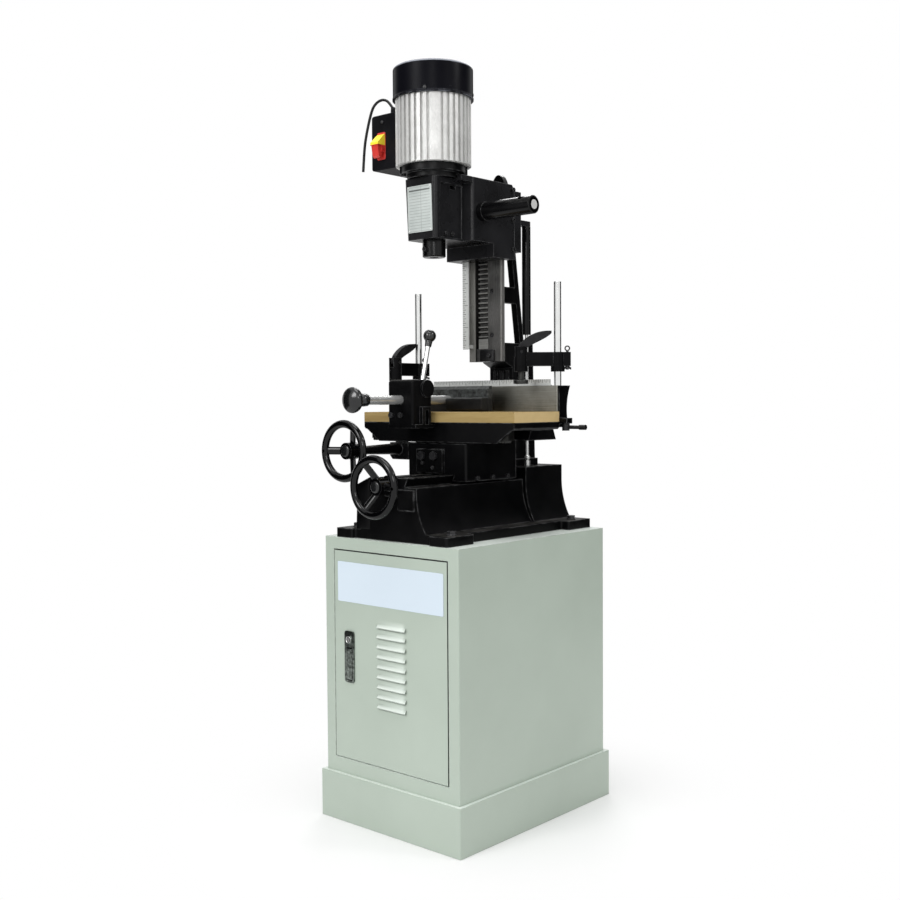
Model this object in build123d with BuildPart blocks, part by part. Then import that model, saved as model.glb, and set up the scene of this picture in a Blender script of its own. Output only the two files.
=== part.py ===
# Floor-standing hollow chisel mortiser on a sheet-steel cabinet.
# Millimetres. X to the operator's right, Y away from the operator, Z up.
# The origin is on the floor, under the middle of the cabinet.
from build123d import *
import os
from math import cos, pi, radians, sin, tan

os.makedirs("parts", exist_ok=True)

# Clearances
bearing_gap = 0.05
slide_gap = 0.1
pass_gap = 0.5
drop_gap = 0.3
cut_over = 1

# Cabinet
cabinet_width = 390
cabinet_depth = 506
cabinet_height = 620
sheet = 2
cabinet_corner = 3
plinth_height = 103
plinth_overhang = 9.5
plinth_foot = 30
jamb_depth = 12

# Cabinet door
door_margin = 30
door_top_margin = 28
door_bottom = 138
door_gap = 2
door_return = 16
door_pin_radius = 2.5
door_pin_inset = 8
door_pin_depth = 5
louvre_count = 9
louvre_width = 82
louvre_pitch = 21.4
louvre_height = 9
louvre_lip = 5
louvre_x = 8
louvre_rise = 126
lock_inset = 46.5
lock_rise = 224
lock_width = 29
lock_height = 112
lock_flange = 3
lock_body_depth = 14
handle_width = 17
handle_height = 70
handle_thickness = 7
handle_proud = 1
handle_end_gap = 1
handle_pivot_radius = 1.6
handle_stub = 1.5
handle_stub_hole = 2

# Base casting
base_set_in = 3
base_flange_height = 20
base_flange_half = 140
foot_half = 162
foot_width = 50
foot_length = 85
base_rise = 115
base_top_half = 70
base_foot_half = 96
base_waist_half = 79.5
base_waist_rise = 52
base_wall = 10
base_end_step = 1
pad_rise = 28
pad_depth = 138
pad_half = 80
pad_foot_half = 104
way_rise = 19
way_top_half = 45
way_foot_half = 36
trough_half = 17
trough_depth = 23
cover_pad_width = 46
cover_pad_height = 43
cover_pad_edge = 6
cover_pad_drop = 5
cover_pad_thickness = 3
bolt_radius = 5
bolt_head_across = 17
bolt_head_height = 7
washer_radius = 11
washer_thickness = 2

# Cross screw and handwheels
screw_rise = 2
screw_radius = 8
screw_room = 1
journal_step = 2
collar_step = 4
wheel_radius = 67
rim_radius = 8.5
wheel_dish = 20
hub_radius = 18
hub_length = 30
spoke_width = 17
spoke_thickness = 9
crank_hole_radius = 4
cross_wheel_reach = 44
bearing_plate_width = 34
bearing_plate_height = 44
bearing_plate_thickness = 8

# Saddle
saddle_half = 85
saddle_front_set = 4
saddle_back_reach = 20
saddle_lift = 6
saddle_height = 105
saddle_corner = 4
ledge_drop = 24
ledge_depth = 24
gib_thickness = 6
gib_end_gap = 6
gib_screw_radius = 5
gib_screw_head = 6
nut_half = 14
nut_length = 40
nut_drop = 14
nut_corner = 4
front_pad_left = -55
front_pad_width = 77
front_pad_rise = 16
front_pad_height = 52
front_pad_thickness = 6
pad_bolt_inset = 18
pad_bolt_spacing = 36
pad_bolt_drop = 14
pad_screw_inset = 20
pad_screw_spacing = 30
pad_screw_rise = 22
pad_screw_low = 12
pad_screw_radius = 4
pad_screw_head = 4
pinion_offset = 31
pinion_drop = 14
sleeve_root = 13
sleeve_tip = 8.5
sleeve_length = 128
bracket_side = 26
bracket_drop = 24
bracket_chamfer = 8
bracket_behind_rack = 14
bracket_wall = 5
table_wheel_reach = 39

# Table
table_half = 220
table_depth = 155
table_to_column = 74
table_lift = 6
table_thickness = 16
table_top_thickness = 22
wood_edge = 1.5
dovetail_height = 22
dovetail_front_set = 55
dovetail_back_set = 4
dovetail_slope = 9
dovetail_end_set = 6
rack_end_set = 20
rack_set = 5
rack_width = 20
apron_end_set = 8
apron_slope = 40
apron_drop = 27.5
table_module = 2.5
pinion_teeth = 16
pinion_shaft_radius = 6.5
pinion_room = 1
pinion_front_gap = 3

# Fence and hold-down rods
fence_depth = 44
fence_lift = 4
fence_height = 56
fence_foot_set = 10
fence_lip_set = 4
fence_waist_set = 16
fence_foot_end = 4
fence_foot_height = 12
fence_face_thickness = 6
fence_face_end = 1
fence_bolt_inset = 90
fence_bolt_across = 13
fence_bolt_head = 6
fence_bolt_rise = 6
rod_inset = 14
rod_set_back = 14
rod_radius = 8
rod_height = 224
rod_seat_rise = 10
rod_chamfer = 1
rod_boss_radius = 14

# Hold-down clamps
arm_reach = 80
arm_width = 20
arm_height = 30
right_arm_lift = 42
left_arm_lift = 28
right_arm_turn = 225
left_arm_turn = 270
clamp_boss_radius = 15
clamp_head_radius = 15
clamp_head_height = 54
clamp_lug = 27
head_drop = 12
plunger_radius = 6
foot_radius = 16
foot_thickness = 9
foot_below_head = 26
cam_radius = 9
cam_throw = 3
cam_rim = 2
cam_slot_room = 4
lever_length = 66
lever_width = 13
lever_slot = 14

# Vise
vise_x = -46
vise_rod_height = 27
vise_rod_radius = 10
vise_length = 61
vise_half = 37
vise_height = 71
vise_edge = 8
vise_corner = 5
vise_flange_lift = 4
vise_flange_thickness = 8
vise_rod_reach = 102
jaw_opening = 40
jaw_thickness = 14
jaw_half = 117
jaw_height = 57
jaw_lift = 0.5
guide_depth = 22
guide_gap = 2
guide_end = 1
guide_lift = 2
guide_rise = 4
guide_corner = 4
knob_radius = 27
knob_length = 28
neck_radius = 13
neck_length = 26
vise_lever_offset = 22
vise_lever_set = 44
vise_lever_drop = 16
vise_lever_tilt = 14
vise_lever_radius = 5
vise_lever_length = 91
vise_cam_radius = 13
vise_slot_front = 28
vise_slot_room = 1
vise_pin_reach = 8
vise_boss_radius = 19
vise_boss_height = 5
vise_boss_drop = 4
vise_cam_width = 16
vise_ball_radius = 14
staple_reach = 9
staple_front = 22
staple_width = 26
staple_height = 38
staple_bar = 7
vise_screw_inset = 11
vise_screw_spacing = 29
vise_screw_rise = 20
vise_screw_radius = 6
vise_screw_head = 5

# Fence lock lever
lock_lug = 20
lock_lug_lift = 12
lock_lug_thickness = 12
lock_lever_length = 52
lock_lever_radius = 4
lock_grip_step = 1.5
lock_boss_radius = 8
lock_boss_height = 15

# Column and dovetail bar
column_half = 34
column_step = 6
column_height = 527
column_knee_rise = 227
column_corner = 6
column_foot_thickness = 16
column_foot_corner = 4
column_flange_half = 38
column_flange_set = 6
column_flange_depth = 96
column_back_set = 8
flute_radius = 5
flute_drop = 6
rib_half = 8
rib_thickness = 15
rib_top_reach = 54
rib_foot_reach = 89
web_rise = 94
web_height = 37
shoulder_rise = 56
window_drop = 28
bar_half = 48
bar_overhang = 57
bar_depth = 28
bar_edge = 10
bar_back_half = 34
bar_rise = 13
bar_length = 381
lug_half = 20
lug_height = 39
lug_back_gap = 1
recess_left = -28
recess_right = 8
recess_depth = 13
bar_screw_set = 11
bar_screw_rise = 60
bar_screw_spacing = 99
bar_screw_radius = 5.5
bar_screw_head = 5
bar_screw_sunk = 6
rack_side_gap = 4
rack_stand = 5.25
feed_rack_rise = 29
rack_plain_end = 22
feed_module = 3.5
feed_teeth = 13
idler_teeth = 22
tooth_share = 0.42
tooth_rise = 0.85
tooth_root = 1.15
flank_angle = 20

# Depth scale
scale_overhang = 6
scale_width = 18
scale_stand_off = 16
scale_thickness = 2
scale_rise = 29
scale_length = 230
scale_foot_set = 8
scale_foot_rise = 2
scale_foot_height = 8

# Head
head_half = 69
head_front_reach = 123
head_back_reach = 21
head_rise = 257
head_step_reach = 53
head_step_drop = 30
head_corner = 6
head_bevel_drop = 10
head_bevel_set = 8
shelf_reach = 36
shelf_thickness = 12
shelf_rise = 6
keeper_depth = 24
keeper_drop = 12
keeper_height = 135
keeper_screw_inset = 24
keeper_screw_set = 9
feed_rise = 64
feed_shaft_radius = 10
feed_shaft_tail = 21
hub_reach = 143
hub_tube_radius = 19.3
hub_chamfer = 2
hub_collar_radius = 20.5
hub_collar_length = 13
lever_hole_radius = 8
lever_hole_inset = 27
idler_journal_radius = 9
idler_journal_tail = 16
idler_journal_nose = 26
gear_end_gap = 1
gear_side_gap = 2
gear_tip_room = 1
slit_side_room = 1
slit_room = 1.5
side_screw_set = 8
side_screw_top = 12
side_screw_middle = 6
side_screw_low = 22
head_screw_radius = 5.5
head_screw_head = 6

# Spindle block and chisel bush
throat = 171
block_half = 45
block_reach = 46
block_foot_half = 42
block_foot_reach = 42
block_height = 130
block_corner = 9
neck_half = 40
chuck_bore = 29
block_floor = 14
bush_radius = 25
bush_drop = 36
bush_chamfer = 2
bush_bore = 9.5
bush_spigot_radius = 20
set_screw_rise = 16
set_screw_radius = 5
set_screw_proud = 6
set_screw_gap = 2
panel_depth = 3
panel_back_set = 3
panel_low_set = 4
panel_top_set = 12
panel_screw_rise = 8
panel_screw_front = 6
panel_screw_spacing = 20
panel_screw_radius = 5
panel_screw_head = 4
chuck_window = 17
window_set = 9
window_top_gap = 2

# Motor
neck_ring_radius = 57
motor_neck = 12
motor_flange_thickness = 16
motor_flange_radius = 69
ear_radius = 9
ear_circle = 64.5
ear_bolt_across = 10
ear_bolt_height = 4.5
shaft_radius = 9.5
motor_core_radius = 75.5
fin_height = 6
fin_count = 36
fin_width = 7.5
motor_pad_width = 24
motor_pad_root = 2
motor_length = 154
motor_end_wall = 10
motor_ring = 5
stator_radius = 47
air_gap = 3
core_end_gap = 6
box_seat_half = 15
box_seat_set = 12
box_seat_root = 4
cover_lap = 13
cover_height = 68
cover_rise = 5
cover_flare_step = 1
cover_rim_height = 3
cover_rim_slope = 2
cover_wall = 3
cover_shoulder = 6
air_slot_count = 16
air_slot_width = 5
chuck_radius = 24
chuck_height = 60
chuck_nose = 14
chuck_lift = 16
shaft_in_chuck = 10
shaft_above_motor = 24
fan_radius = 68
fan_lift = 10
fan_disc = 3
fan_blade_count = 8
fan_blade_height = 24
fan_blade_thickness = 3

# Switch box and cord
box_gap = 1.5
box_width = 76
box_set = 24
box_depth = 123
box_lift = 9
box_height = 121
box_corner = 6
box_front_edge = 1.5
hood_inset = 20
hood_width = 24
hood_drop = 44
hood_height = 26
hood_reach = 24
hood_brow = 3
hood_lip = 6
cheek_thickness = 2
cheek_depth = 12
cheek_height = 14
paddle_length = 27
paddle_pin_radius = 1.5
paddle_pin_set = 4
paddle_pin_end = 0.4
paddle_back = 2.5
paddle_nose_set = 1
paddle_heel = 4
paddle_toe = 4
paddle_slope = 3
gland_inset = 11
gland_set = 10
gland_radius = 8
gland_height = 15
gland_lip = 1
cord_radius = 3

# Gas strut
strut_x = 50
strut_reach = 43
strut_tube_radius = 10
strut_wall = 1.5
strut_end_wall = 8
strut_rod_radius = 4
strut_tube_length = 247
strut_rise = 52
piston_height = 15
piston_rise = 12
strut_ball_radius = 7
strut_seat = 12
strut_arm_half = 8
strut_arm_corner = 7
strut_arm_thickness = 12

# Heights, from the floor up
door_height = cabinet_height - door_bottom - door_top_margin
door_top = door_bottom + door_height
louvre_bottom = door_bottom + louvre_rise
lock_z = door_bottom + lock_rise
base_top = cabinet_height + base_rise
base_waist_z = cabinet_height + base_waist_rise
pad_top = base_top + pad_rise
way_top = base_top + way_rise
trough_floor = base_top - trough_depth
screw_z = base_top + screw_rise
nut_bottom = screw_z - nut_drop
saddle_bottom = base_top + saddle_lift
saddle_top = saddle_bottom + saddle_height
saddle_ledge = saddle_top - ledge_drop
front_pad_bottom = saddle_bottom + front_pad_rise
front_pad_top = front_pad_bottom + front_pad_height
pinion_z = saddle_ledge - pinion_drop
bracket_bottom = pinion_z - bracket_drop
table_bottom = saddle_top + table_lift
table_top_z = table_bottom + table_thickness
work_z = table_top_z + table_top_thickness
dovetail_bottom = table_bottom - dovetail_height
apron_bottom = table_bottom - apron_drop
fence_bottom = table_bottom + fence_lift
fence_top = work_z + fence_height
rod_top = fence_top + rod_height
right_arm_z = fence_top + right_arm_lift
left_arm_z = fence_top + left_arm_lift
vise_rod_z = work_z + vise_rod_height
vise_top = work_z + vise_height
vise_flange_bottom = table_bottom + vise_flange_lift
vise_flange_top = vise_flange_bottom + vise_flange_thickness
jaw_top = work_z + jaw_height
jaw_bottom = work_z + jaw_lift
vise_lever_z = vise_top - vise_lever_drop
lock_lug_bottom = table_bottom + lock_lug_lift
column_top = pad_top + column_height
column_knee = pad_top + column_knee_rise
shoulder_top = column_knee + shoulder_rise
web_low = shoulder_top + web_rise
web_high = web_low + web_height
upper_window_top = column_top - window_drop
bar_bottom = column_knee + bar_rise
bar_top = bar_bottom + bar_length
bar_screw_low = bar_bottom + bar_screw_rise
bar_screw_high = bar_screw_low + bar_screw_spacing
feed_rack_bottom = bar_bottom + feed_rack_rise
scale_bottom = bar_bottom + scale_rise
scale_top = scale_bottom + scale_length
head_bottom = bar_bottom + head_rise
head_step_bottom = head_bottom - head_step_drop
keeper_bottom = head_bottom - keeper_drop
keeper_top = keeper_bottom + keeper_height
feed_z = head_bottom + feed_rise
block_bottom = head_bottom
block_top = block_bottom + block_height
head_top = block_top + shelf_rise
bush_bottom = block_bottom - bush_drop
motor_flange_bottom = block_top + motor_neck
motor_bottom = motor_flange_bottom + motor_flange_thickness
motor_top = motor_bottom + motor_length
cover_bottom = motor_top - cover_lap
cover_top = cover_bottom + cover_height
box_bottom = motor_bottom + box_lift
box_top = box_bottom + box_height
hood_top = box_top - hood_drop
hood_bottom = hood_top - hood_height
paddle_bottom = hood_bottom - paddle_length
strut_tube_top = head_bottom + strut_rise
strut_tube_bottom = strut_tube_top - strut_tube_length

# Radii that follow from other radii
fin_radius = motor_core_radius + fin_height
cover_radius = fin_radius + cover_rise
cover_flare = cover_radius + cover_flare_step
rotor_radius = stator_radius - air_gap
feed_radius = feed_module * feed_teeth / 2
idler_radius = feed_module * idler_teeth / 2
feed_pitch = pi * feed_module
pinion_radius = table_module * pinion_teeth / 2
table_pitch = pi * table_module
table_rack_z = pinion_z + pinion_radius

# Places across the machine
half_width = cabinet_width / 2
door_width = cabinet_width - 2 * door_margin
door_half = door_width / 2
lock_x = lock_inset - door_half
front_pad_right = front_pad_left + front_pad_width
pinion_x = -saddle_half - pinion_offset
bracket_left = pinion_x - bracket_side
dovetail_half = table_half - dovetail_end_set
rack_half = table_half - rack_end_set
apron_half = table_half - apron_end_set
rod_x = table_half - rod_inset
vise_lever_x = vise_x + vise_lever_offset
lug_x_middle = bar_half - lug_half
bar_screw_x = recess_right + bar_screw_set
rack_left = recess_left + rack_side_gap
rack_right = recess_right - rack_side_gap
scale_left = -bar_half - scale_overhang
feed_shaft_inner = rack_left - feed_shaft_tail
idler_journal_left = rack_left - idler_journal_tail
idler_journal_right = rack_right + idler_journal_nose
hub_end = head_half + hub_reach
box_right = -cover_flare - box_gap
box_left = box_right - box_width
hood_left = box_left + hood_inset
gland_x = box_right - gland_inset

# Places from front to back
half_depth = cabinet_depth / 2
base_front = base_set_in - half_depth
base_back = half_depth - base_set_in
base_length = base_back - base_front
pad_front = base_back - pad_depth
column_flange_front = pad_front + column_flange_set
column_flange_back = column_flange_front + column_flange_depth
column_front = column_flange_front + column_step
column_back = column_flange_back - column_back_set
bar_front = column_front - bar_overhang
bar_back = bar_front + bar_depth
rib_top_y = bar_back + rib_top_reach
rib_foot_y = bar_back + rib_foot_reach
scale_y = bar_front - scale_stand_off
rack_floor = bar_front + recess_depth
rack_pitch_y = rack_floor - rack_stand
idler_y = rack_pitch_y - idler_radius
feed_y = idler_y - idler_radius - feed_radius
head_front = bar_front - head_front_reach
head_back = bar_front + head_back_reach
head_step_front = bar_front - head_step_reach
shelf_front = head_front - shelf_reach
keeper_back = head_back + keeper_depth
spindle_y = bar_front - throat
block_back = head_front
block_front = spindle_y - block_reach
block_foot_front = spindle_y - block_foot_reach
table_back = column_front - table_to_column
table_front = table_back - table_depth
rod_y = table_back + rod_set_back
saddle_front = table_front + saddle_front_set
saddle_back = table_back + saddle_back_reach
saddle_ledge_back = saddle_front + ledge_depth
dovetail_front = table_front + dovetail_front_set
dovetail_back = table_back - dovetail_back_set
rack_front = table_front + rack_set
rack_back = rack_front + rack_width
bracket_back = rack_back + bracket_behind_rack
cross_wheel_y = base_front - cross_wheel_reach
table_wheel_y = saddle_front - sleeve_length - table_wheel_reach
vise_front = table_front - vise_length
vise_rod_front = vise_front - vise_rod_reach
vise_lever_y = vise_front + vise_lever_set
jaw_front = table_back - fence_face_thickness - jaw_opening - jaw_thickness
strut_y = keeper_back + strut_reach
box_front = spindle_y - box_set
box_back = box_front + box_depth
gland_y = box_front + gland_set


def keep(piece, node):
    """Label a finished piece and write it to its own file."""
    piece.part.label = node
    export_step(piece.part, f"parts/{node}.step")


def block(x, y, z, mode=Mode.ADD):
    """Put a block between limits along X, Y and Z into the part being built."""
    with Locations(((x[0] + x[1]) / 2, (y[0] + y[1]) / 2, (z[0] + z[1]) / 2)):
        return Box(x[1] - x[0], y[1] - y[0], z[1] - z[0], mode=mode)


def shaft(start, direction, radius, length, mode=Mode.ADD):
    """Put a round bar from a start point along a direction into the part being built."""
    with Locations(Plane(origin=start, z_dir=direction).location):
        return Cylinder(radius, length, align=(Align.CENTER, Align.CENTER, Align.MIN), mode=mode)


def hex_head(start, direction, across, height):
    """Put a hexagon bolt head on a face of the part being built."""
    with BuildSketch(Plane(origin=start, z_dir=direction)) as hexagon:
        RegularPolygon(across / 2, 6, major_radius=False)
    extrude(hexagon.sketch, amount=height)


def socket_head(start, direction, radius, height):
    """Put a socket-head screw with its hexagon recess on a face of the part being built."""
    shaft(start, direction, radius, height)
    outer = Vector(*start) + Vector(*direction).normalized() * height
    with BuildSketch(Plane(origin=outer, z_dir=direction)) as hexagon:
        RegularPolygon(radius / 2, 6, major_radius=False)
    extrude(hexagon.sketch, amount=-height / 2, mode=Mode.SUBTRACT)


def tooth_half(height, module):
    """Half the thickness of a straight-sided tooth at a height above its pitch line."""
    return tooth_share * pi * module / 2 - height * tan(radians(flank_angle))


def tooth_heights(module):
    """The four corners of a tooth, as a height from the pitch line and a side."""
    low = -tooth_root * module
    high = tooth_rise * module
    return ((low, -1), (high, -1), (high, 1), (low, 1))


def gear_points(teeth, module, phase):
    """Corners of a spur gear, with the middle of one tooth at the phase angle in radians."""
    pitch_radius = module * teeth / 2
    points = []
    for tooth in range(teeth):
        middle = phase + 2 * pi * tooth / teeth
        for height, side in tooth_heights(module):
            radius = pitch_radius + height
            angle = middle + side * tooth_half(height, module) / radius
            points.append((radius * cos(angle), radius * sin(angle)))
    return points


def rack_points(first, last, module):
    """Corners of a rack's teeth along its length, as a height and a place, from tooth to tooth."""
    points = []
    for tooth in range(first, last + 1):
        for height, side in tooth_heights(module):
            points.append((height, tooth * pi * module + side * tooth_half(height, module)))
    return points


# Cabinet shell: a folded wrap of front, sides and top with a turned-in jamb round the door opening,
# a flat back panel set between the sides, and a floor tray whose turned-down sides stand on the plinth
with BuildPart() as cabinet_shell:
    block((-half_width, half_width), (-half_depth, half_depth), (sheet, cabinet_height))
    fillet(cabinet_shell.edges().filter_by(Axis.Z), cabinet_corner)
    inner_half_x = half_width - sheet
    inner_half_y = half_depth - sheet
    inner_x = (-inner_half_x, inner_half_x)
    open_back_y = (-inner_half_y, half_depth + cut_over)
    block(inner_x, open_back_y, (sheet, cabinet_height - sheet), Mode.SUBTRACT)
    jamb = door_half + door_gap + sheet
    jamb_z = (door_bottom - door_gap - sheet, door_top + door_gap + sheet)
    block((-jamb, jamb), (-half_depth, jamb_depth - half_depth), jamb_z)
    opening_half = door_half + door_gap
    opening_z = (door_bottom - door_gap, door_top + door_gap)
    opening_y = (-half_depth - sheet, jamb_depth - half_depth + sheet)
    block((-opening_half, opening_half), opening_y, opening_z, Mode.SUBTRACT)
    pin_x = door_half - door_pin_inset
    pin_y = door_pin_depth - half_depth
    pin_hole_foot = (pin_x, pin_y, door_bottom - door_gap - 2 * sheet)
    shaft(pin_hole_foot, (0, 0, 1), door_pin_radius + bearing_gap, 3 * sheet, Mode.SUBTRACT)
    pin_hole_head = (pin_x, pin_y, door_top + door_gap - sheet)
    shaft(pin_hole_head, (0, 0, 1), door_pin_radius + bearing_gap, 3 * sheet, Mode.SUBTRACT)
    foot_x = foot_half - foot_width / 2
    foot_front_y = base_front + foot_length / 2
    foot_back_y = base_back - foot_length / 2
    for bolt_x in (-foot_x, foot_x):
        for bolt_y in (foot_front_y, foot_back_y):
            hole_start = (bolt_x, bolt_y, cabinet_height - 2 * sheet)
            shaft(hole_start, (0, 0, 1), bolt_radius + bearing_gap, 4 * sheet, Mode.SUBTRACT)
    tray_half_x = inner_half_x - drop_gap
    tray_half_y = inner_half_y - drop_gap
    block((-tray_half_x, tray_half_x), (-tray_half_y, tray_half_y), (sheet, plinth_height))
    under_half_x = tray_half_x - sheet
    under_half_y = tray_half_y - sheet
    under_z = (sheet, plinth_height - sheet)
    block((-under_half_x, under_half_x), (-under_half_y, under_half_y), under_z, Mode.SUBTRACT)
    back_half_x = inner_half_x - drop_gap
    back_z = (sheet, cabinet_height - sheet - drop_gap)
    block((-back_half_x, back_half_x), (inner_half_y, half_depth), back_z)
keep(cabinet_shell, "cabinet_shell")

# Plinth: a folded skirt round the foot of the cabinet, with a flat stiffener across its middle
with BuildPart() as cabinet_plinth:
    skirt_x = half_width + plinth_overhang
    skirt_y = half_depth + plinth_overhang
    block((-skirt_x, skirt_x), (-skirt_y, skirt_y), (0, plinth_height))
    fillet(cabinet_plinth.edges().filter_by(Axis.Z), cabinet_corner)
    fillet(cabinet_plinth.faces().sort_by(Axis.Z)[-1].edges(), sheet)
    skirt_in_x = skirt_x - sheet
    skirt_in_y = skirt_y - sheet
    skirt_in_z = (sheet, plinth_height - sheet)
    block((-skirt_in_x, skirt_in_x), (-skirt_in_y, skirt_in_y), skirt_in_z, Mode.SUBTRACT)
    upper_z = (plinth_height / 2, plinth_height + sheet)
    block((-half_width, half_width), (-half_depth, half_depth), upper_z, Mode.SUBTRACT)
    lip_x = skirt_x - plinth_foot
    lip_y = skirt_y - plinth_foot
    block((-lip_x, lip_x), (-lip_y, lip_y), (-sheet, plinth_height / 2), Mode.SUBTRACT)
    block((-lip_x, lip_x), (-plinth_foot / 2, plinth_foot / 2), (0, sheet))
keep(cabinet_plinth, "cabinet_plinth")

# Door: a shallow tray with pressed louvres, a lock cut-out and two pivot pins
with BuildPart() as cabinet_door:
    door_x = (-door_half, door_half)
    block(door_x, (-half_depth, door_return - half_depth), (door_bottom, door_top))
    tray_x = (sheet - door_half, door_half - sheet)
    tray_y = (sheet - half_depth, door_return - half_depth + sheet)
    block(tray_x, tray_y, (door_bottom + sheet, door_top - sheet), Mode.SUBTRACT)
    louvre_left = louvre_x - louvre_width / 2
    for louvre in range(louvre_count):
        slit = louvre_bottom + louvre * louvre_pitch
        slit_x = (louvre_left, louvre_left + louvre_width)
        slit_y = (-half_depth - sheet, 2 * sheet - half_depth)
        block(slit_x, slit_y, (slit, slit + louvre_height - sheet), Mode.SUBTRACT)
        with BuildSketch(Plane.YZ.offset(louvre_left)):
            with BuildLine():
                Polyline(
                    (-half_depth, slit + louvre_height),
                    (-half_depth - louvre_lip, slit + sheet),
                    (-half_depth - louvre_lip, slit),
                    (-half_depth, slit + louvre_height - sheet),
                    (sheet - half_depth, slit + louvre_height - sheet),
                    (sheet - half_depth, slit + louvre_height),
                    close=True,
                )
            make_face()
        extrude(amount=louvre_width)
        for cheek_x in (louvre_left, louvre_left + louvre_width - sheet):
            with BuildSketch(Plane.YZ.offset(cheek_x)):
                with BuildLine():
                    Polyline(
                        (-half_depth, slit + louvre_height),
                        (-half_depth - louvre_lip, slit + sheet),
                        (-half_depth - louvre_lip, slit),
                        (sheet - half_depth, slit),
                        (sheet - half_depth, slit + louvre_height),
                        close=True,
                    )
                make_face()
            extrude(amount=sheet)
    lock_cut_x = (lock_x - lock_width / 2 + lock_flange, lock_x + lock_width / 2 - lock_flange)
    lock_cut_z = (lock_z - lock_height / 2 + lock_flange, lock_z + lock_height / 2 - lock_flange)
    block(lock_cut_x, (-half_depth - sheet, 2 * sheet - half_depth), lock_cut_z, Mode.SUBTRACT)
    pin_length = door_gap + 2 * sheet
    shaft((pin_x, pin_y, door_top - sheet), (0, 0, 1), door_pin_radius, pin_length + sheet)
    shaft((pin_x, pin_y, door_bottom - pin_length), (0, 0, 1), door_pin_radius, pin_length + sheet)
keep(cabinet_door, "cabinet_door")

# Flush lock: flanged housing with a pocket for the lift handle and a key barrel above it
handle_bottom = lock_z - lock_height / 2 + 2 * lock_flange
handle_top = handle_bottom + handle_height
pocket_back = lock_body_depth - half_depth - lock_flange
handle_pivot_y = -half_depth
handle_pivot_z = handle_top - handle_thickness
with BuildPart() as lock_plate:
    plate_x = (lock_x - lock_width / 2, lock_x + lock_width / 2)
    plate_z = (lock_z - lock_height / 2, lock_z + lock_height / 2)
    block(plate_x, (-half_depth - lock_flange, -half_depth), plate_z)
    fillet(lock_plate.edges().filter_by(Axis.Y), 2 * lock_flange)
    block(lock_cut_x, (-half_depth, lock_body_depth - half_depth), lock_cut_z)
    pocket_half = handle_width / 2 + pass_gap
    pocket_x = (lock_x - pocket_half, lock_x + pocket_half)
    pocket_y = (-half_depth - 2 * lock_flange, pocket_back)
    pocket_z = (handle_bottom - handle_end_gap, handle_top + handle_end_gap)
    block(pocket_x, pocket_y, pocket_z, Mode.SUBTRACT)
    pivot_half = pocket_half + handle_stub_hole
    pivot_start = (lock_x - pivot_half, handle_pivot_y, handle_pivot_z)
    pivot_bore = handle_pivot_radius + bearing_gap
    shaft(pivot_start, (1, 0, 0), pivot_bore, 2 * pivot_half, Mode.SUBTRACT)
    barrel_z = (handle_top + lock_z + lock_height / 2) / 2
    barrel_start = (lock_x, -half_depth - lock_flange, barrel_z)
    shaft(barrel_start, (0, -1, 0), lock_width / 3, lock_flange / 2)
keep(lock_plate, "lock_plate")

# Lift handle of the lock, on two stub pivots near its upper end
with BuildPart() as latch_handle:
    handle_x = (lock_x - handle_width / 2, lock_x + handle_width / 2)
    handle_y = (-half_depth - lock_flange - handle_proud, handle_thickness - half_depth - lock_flange)
    block(handle_x, handle_y, (handle_bottom, handle_top))
    fillet(latch_handle.edges().filter_by(Axis.X), handle_thickness / 3)
    grip_z = handle_bottom + handle_height / 5
    grip_y = handle_thickness - half_depth - lock_flange
    grip_start = (lock_x - handle_width, grip_y, grip_z)
    shaft(grip_start, (1, 0, 0), handle_thickness / 2, 2 * handle_width, Mode.SUBTRACT)
    stub_half = pocket_half + handle_stub
    stub_start = (lock_x - stub_half, handle_pivot_y, handle_pivot_z)
    shaft(stub_start, (1, 0, 0), handle_pivot_radius, 2 * stub_half)
keep(latch_handle, "latch_handle")

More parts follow.
